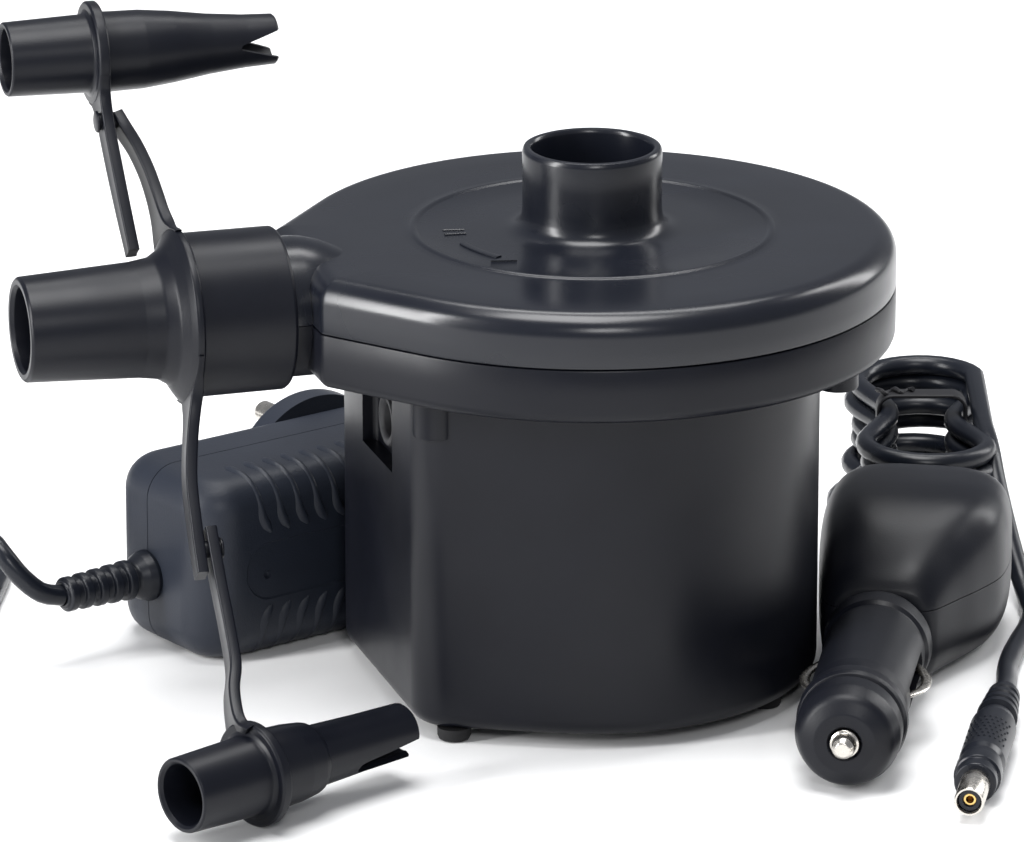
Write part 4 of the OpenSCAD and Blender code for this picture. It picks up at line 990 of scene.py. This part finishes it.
def make_relief():
    """The moulded strain relief: a collar, then rings that shrink towards the lead."""
    spot = AC_PLACE @ Matrix.Translation((0, 19.4, 14.5)) @ Matrix.Rotation(math.pi, 4, "Z")
    corners = [(2.05, -3.4, 0), (5, -3.4, 0.2), (5, -2.1, 0.2), (3.35, -2.1, 0), (3.35, -0.1, 0), (4.9, -0.1, 0.2), (5, 0.7, 0.5),
               (4.5, 2.2, 0.8), (3.7, 3.6, 0.6), (3.1, 4.1, 0.2)]
    for k in range(5):
        x, r, core = 4.4 + 3.25 * k, 3.9 - 0.13 * k, 3.05 - 0.07 * k
        corners += [(core, x, 0.2), (r, x + 0.25, 0.4), (r, x + 1.9, 0.4), (core - 0.05, x + 2.15, 0.2)]
    corners += [(2.6, 20, 0.4), (2.05, 20, 0)]
    line = rounded(corners)
    finish_piece(lathe("ac_relief_skin", line + [line[0]], spot, "X", 64, sharp=50), "cable_black", "ac_adapter", "ac_strain_relief")


def band(name, place, half_y, z0, z1, width, thick):
    """A closed tie round a bundle whose section is 2 half_y by z1 - z0, with its twisted tail."""
    path = rounded([(-half_y, z0, 2.4), (half_y, z0, 2.4), (half_y, z1, 3), (-half_y, z1, 3)], closed=True)
    path = resample(path, 0.8)
    section = ribbon_section(width, thick, min(width, thick) * 0.4, 3)
    n = len(path)
    rings = []
    for i, p in enumerate(path):
        ahead = (path[(i + 1) % n] - path[i - 1]).normalized()
        out = Vector((ahead.y, -ahead.x))
        rings.append([Vector((a, p.x + out.x * b, p.y + out.y * b)) for a, b in section])
    loop = skinned(name, rings, place, loop=True)
    top = Vector((0, half_y * 0.2, z1 + 0.2))
    tail = [top + Vector((1.0 * math.sin(1.7 * k), 0.9 * k, 1.0 * math.cos(1.7 * k) * 0.45 + 0.3 - 0.02 * k)) for k in range(9)]
    twist = swept(name + "_tail", smooth_line(tail, 0.4), lambda t: circle(0.5, 8), place)
    return join(name, [loop, twist])


def make_ties():
    spot = Matrix.Translation((COIL_AT.x, COIL_AT.y, FLOOR)) @ Matrix.Translation((0, (COIL_IN + COIL_OUT) / 2, 0))
    half = (COIL_OUT - COIL_IN + CORD_D) / 2 + 0.35
    finish_piece(band("ac_tie_band", spot, half, 0.3, 8.6, 3.6, 0.6), "tie_black", "ac_adapter", "ac_cord_tie")
    finish_piece(band("car_tie_band", HANK_PLACE, 8.75, 0.3, 30.6, 4.4, 0.7), "tie_black", "car_adapter", "car_cord_tie")


# ---------------------------------------------------------------- the vehicle adapter
def squircle(half_w, half_h, power, count=96):
    """A rounded box outline, squarer with power."""
    def bulge(v):
        return math.copysign(abs(v) ** (2 / power), v)

    turns = [TAU * k / count for k in range(count)]
    return [(half_w * bulge(math.cos(a)), half_h * bulge(math.sin(a))) for a in turns]


def make_car_housing():
    # Station along the axis, sideways shift, half width, bottom, top, squareness
    stations = [(62.0, 0, 9.4, 0.8, 19.6, 3.2), (63, -0.05, 10.5, 0.25, 21.1, 3.25), (65.5, -0.2, 11.7, 0.1, 23.4, 3.35),
                (70, -0.9, 13.3, 0.1, 26.1, 3.4), (76, -2.1, 15.4, 0.05, 28.9, 3.55), (83, -3.2, 17.3, 0, 31.1, 3.8),
                (90, -3.5, 18, 0, 31.95, 4), (97, -3.5, 18, 0, 31.95, 4), (103, -3.5, 17.5, 0.1, 31.4, 3.95),
                (107, -3.5, 16.1, 0.7, 29.9, 3.7), (109.2, -3.5, 13.6, 2.5, 27.2, 3.45), (110, -3.5, 10, 5.6, 23.6, 3.2)]
    middles = [(s[0], s[1], 0) for s in stations]
    sizes = smooth_sizes(middles, [s[2:] for s in stations], 0.8)
    rings = []
    for p, (half, low, high, power) in zip(smooth_line(middles, 0.8), sizes):
        outline = squircle(half, (high - low) / 2, power)
        rings.append([Vector((p.x, p.y + a, (low + high) / 2 + b)) for a, b in outline])
    house = skinned("house", rings, CAR_PLACE, sharp=60)
    cut(house, slab("hollow", 80, 106, -16.5, 9.5, 3, 27, CAR_PLACE))
    cut(house, lathe("neck_bore", rod_line(8.6, 60, 82), CAR_PLACE @ Matrix.Translation((0, 0, 10.4)), "X", 72))
    exit_at = CAR_PLACE @ Matrix.Translation((0, 5.5, 12))
    cut(house, lathe("exit", rod_line(2.1, 98, 118), exit_at, "X", 32))
    upper = copy_of(house, "upper_half")
    cut(house, slab("top", 50, 120, -40, 40, 15.92, 60, CAR_PLACE))
    cut(upper, slab("bottom", 50, 120, -40, 40, -10, 16.08, CAR_PLACE))
    screw_spot = CAR_PLACE @ Matrix.Translation((91, -3.5, 0))
    cut(house, lathe("screw_pocket", rod_line(2.3, -1, 3.9), screw_spot, sides=32))
    post = lathe("post", sleeve_line(1.25, 3, 3.9, 15.8), screw_spot, sides=32)
    shade(house, 40)
    shade(upper, 40)
    finish_piece(join("car_lower_skin", [house, post]), "car_black", "car_adapter", "car_case_lower")
    upper.name = "car_upper_skin"
    finish_piece(upper, "car_black", "car_adapter", "car_case_upper")


def make_car_plug():
    axis = CAR_PLACE @ Matrix.Translation((0, 0, 10.4))
    line = rounded([(8.45, 62, 0), (8.45, 73, 0.2), (7.2, 73, 0.2), (7.2, 60, 0), (4.2, 50, 0), (4.2, 24.9, 0), (7.25, 24.8, 0),
                    (7.25, 20.05, 0.1), (8.6, 20, 0.4), (9.1, 20.6, 0.5), (9.35, 24, 2), (9.45, 53.6, 0.3), (10.1, 54.4, 0.3),
                    (10.35, 58.4, 0.3), (9.3, 61.6, 0.3), (8.45, 62, 0)])
    barrel = lathe("barrel", line, axis, "X", 96, sharp=45)
    for s in (-1, 1):
        cut(barrel, slab("window", 29, 49, min(s * 3, s * 10.4), max(s * 3, s * 10.4), -2.2, 2.2, axis))
    shade(barrel, 40)
    finish_piece(barrel, "car_black", "car_adapter", "car_barrel")
    line = rounded([(2.9, 3.9, 0), (3.3, 3.4, 0.2), (5.6, 3.4, 1.2), (8.6, 4.9, 2.6), (9.75, 8.6, 2.5), (9.8, 12.7, 0.3), (9.25, 13.1, 0.3),
                    (9.2, 13.8, 0.2), (9.9, 14, 0.3), (10.25, 15, 0.6), (10.25, 17.6, 0.8), (9.1, 19.75, 0.5), (7.2, 19.78, 0),
                    (7.2, 24.4, 0.3), (4.1, 24.4, 0.2), (4.1, 8.2, 0), (2.9, 8.2, 0.2), (2.9, 3.9, 0)])
    cap = lathe("nose_cap_skin", line, axis, "X", 96, sharp=50)
    finish_piece(cap, "car_black", "nose_cap", "car_nose_cap")
    line = rounded([(0.01, 0, 0), (1.3, 0, 0.5), (2.05, 0.9, 0.5), (2.2, 3.0, 0.3), (2.7, 3.3, 0.2), (2.7, 8.4, 0), (3.9, 8.5, 0.1), (3.9, 10, 0.1), (0.01, 10, 0)])
    finish_piece(lathe("tip_contact_skin", line, axis, "X", 64, sharp=45), "nickel", "tip_contact", "car_tip_contact")
    for s, body, node in ((1, "contact_left", "car_contact_left"), (-1, "contact_right", "car_contact_right")):
        points = [(29.9, 7.5), (30.6, 8.5), (33.2, 10.4), (36.6, 11.3), (40.4, 11.1), (44, 9.9), (47, 8.4), (48.1, 7.4)]
        wire = smooth_line([(x, s * y, 0) for x, y in points], 0.5)
        piece = swept(node + "_wire", wire, lambda t: [(1.0 * a, 0.42 * b) for a, b in circle(1, 12)], axis)
        finish_piece(piece, "nickel", body, node)


def make_pins():
    line = rounded([(0.01, 30, 0), (2.2, 30, 0), (2.2, 50.2, 1.0), (1.4, 51.4, 0.5), (0.01, 51.5, 0)])
    pins = [lathe("pin", line, ac_inwards(PINS_X, PINS_Z + PIN_GAP / 2 * s), "X", 48) for s in (-1, 1)]
    finish_piece(join("ac_pins_metal", pins), "nickel", "ac_adapter", "ac_plug_pins")


make_ac_case()
make_pins()
make_relief()
make_ties()
make_car_housing()
make_car_plug()

# ---------------------------------------------------------------- CAD nodes that stay
slot_of = {s["node"]: s["material_slot"] for s in frame["record"]["subparts"]}
for node, piece in frame["nodes"].items():
    piece.data.materials.clear()
    piece.data.materials.append(MATERIALS[slot_of[node]])


# ---------------------------------------------------------------- studio
def area_light(name, spot, aim, size, power, colour=(1, 1, 1)):
    light = bpy.data.lights.new(name, "AREA")
    light.shape = "RECTANGLE"
    light.size, light.size_y = size
    light.energy = power
    light.color = colour
    piece = bpy.data.objects.new(name, light)
    piece.location = spot
    piece.rotation_euler = (Vector(spot) - Vector(aim)).to_track_quat("Z", "Y").to_euler()
    bpy.context.scene.collection.objects.link(piece)


def make_studio():
    mesh = bpy.data.meshes.new("floor")
    mesh.from_pydata([(-6, -6, FLOOR * MM), (6, -6, FLOOR * MM), (6, 6, FLOOR * MM), (-6, 6, FLOOR * MM)],
                     [], [(0, 1, 2, 3)])
    floor = bpy.data.objects.new("floor", mesh)
    made, _, shader = material("floor_paper")
    shader.inputs["Base Color"].default_value = (0.86, 0.86, 0.86, 1)
    shader.inputs["Roughness"].default_value = 0.9
    shader.inputs["Specular IOR Level"].default_value = 0.1
    mesh.materials.append(made)
    bpy.context.scene.collection.objects.link(floor)
    world = bpy.data.worlds.new("studio")
    world.use_nodes = True
    world.node_tree.nodes["Background"].inputs["Color"].default_value = (0.9, 0.93, 1, 1)
    world.node_tree.nodes["Background"].inputs["Strength"].default_value = 0.3
    bpy.context.scene.world = world
    aim = (0, 0, 0.05)
    area_light("top_box", (-0.1, -0.1, 1.1), aim, (0.6, 0.6), 13)
    area_light("left_strip", (-1.05, -0.14, 0.42), aim, (0.15, 0.8), 14)
    area_light("front_box", (-0.25, -1.2, 0.75), aim, (0.3, 0.3), 4)
    area_light("right_strip", (0.85, 0.25, 0.5), aim, (0.2, 0.7), 4)
    area_light("back_box", (0.25, 0.6, 1.3), aim, (0.9, 0.3), 7)
    view = bpy.context.scene.view_settings
    view.view_transform = "Standard"


make_studio()
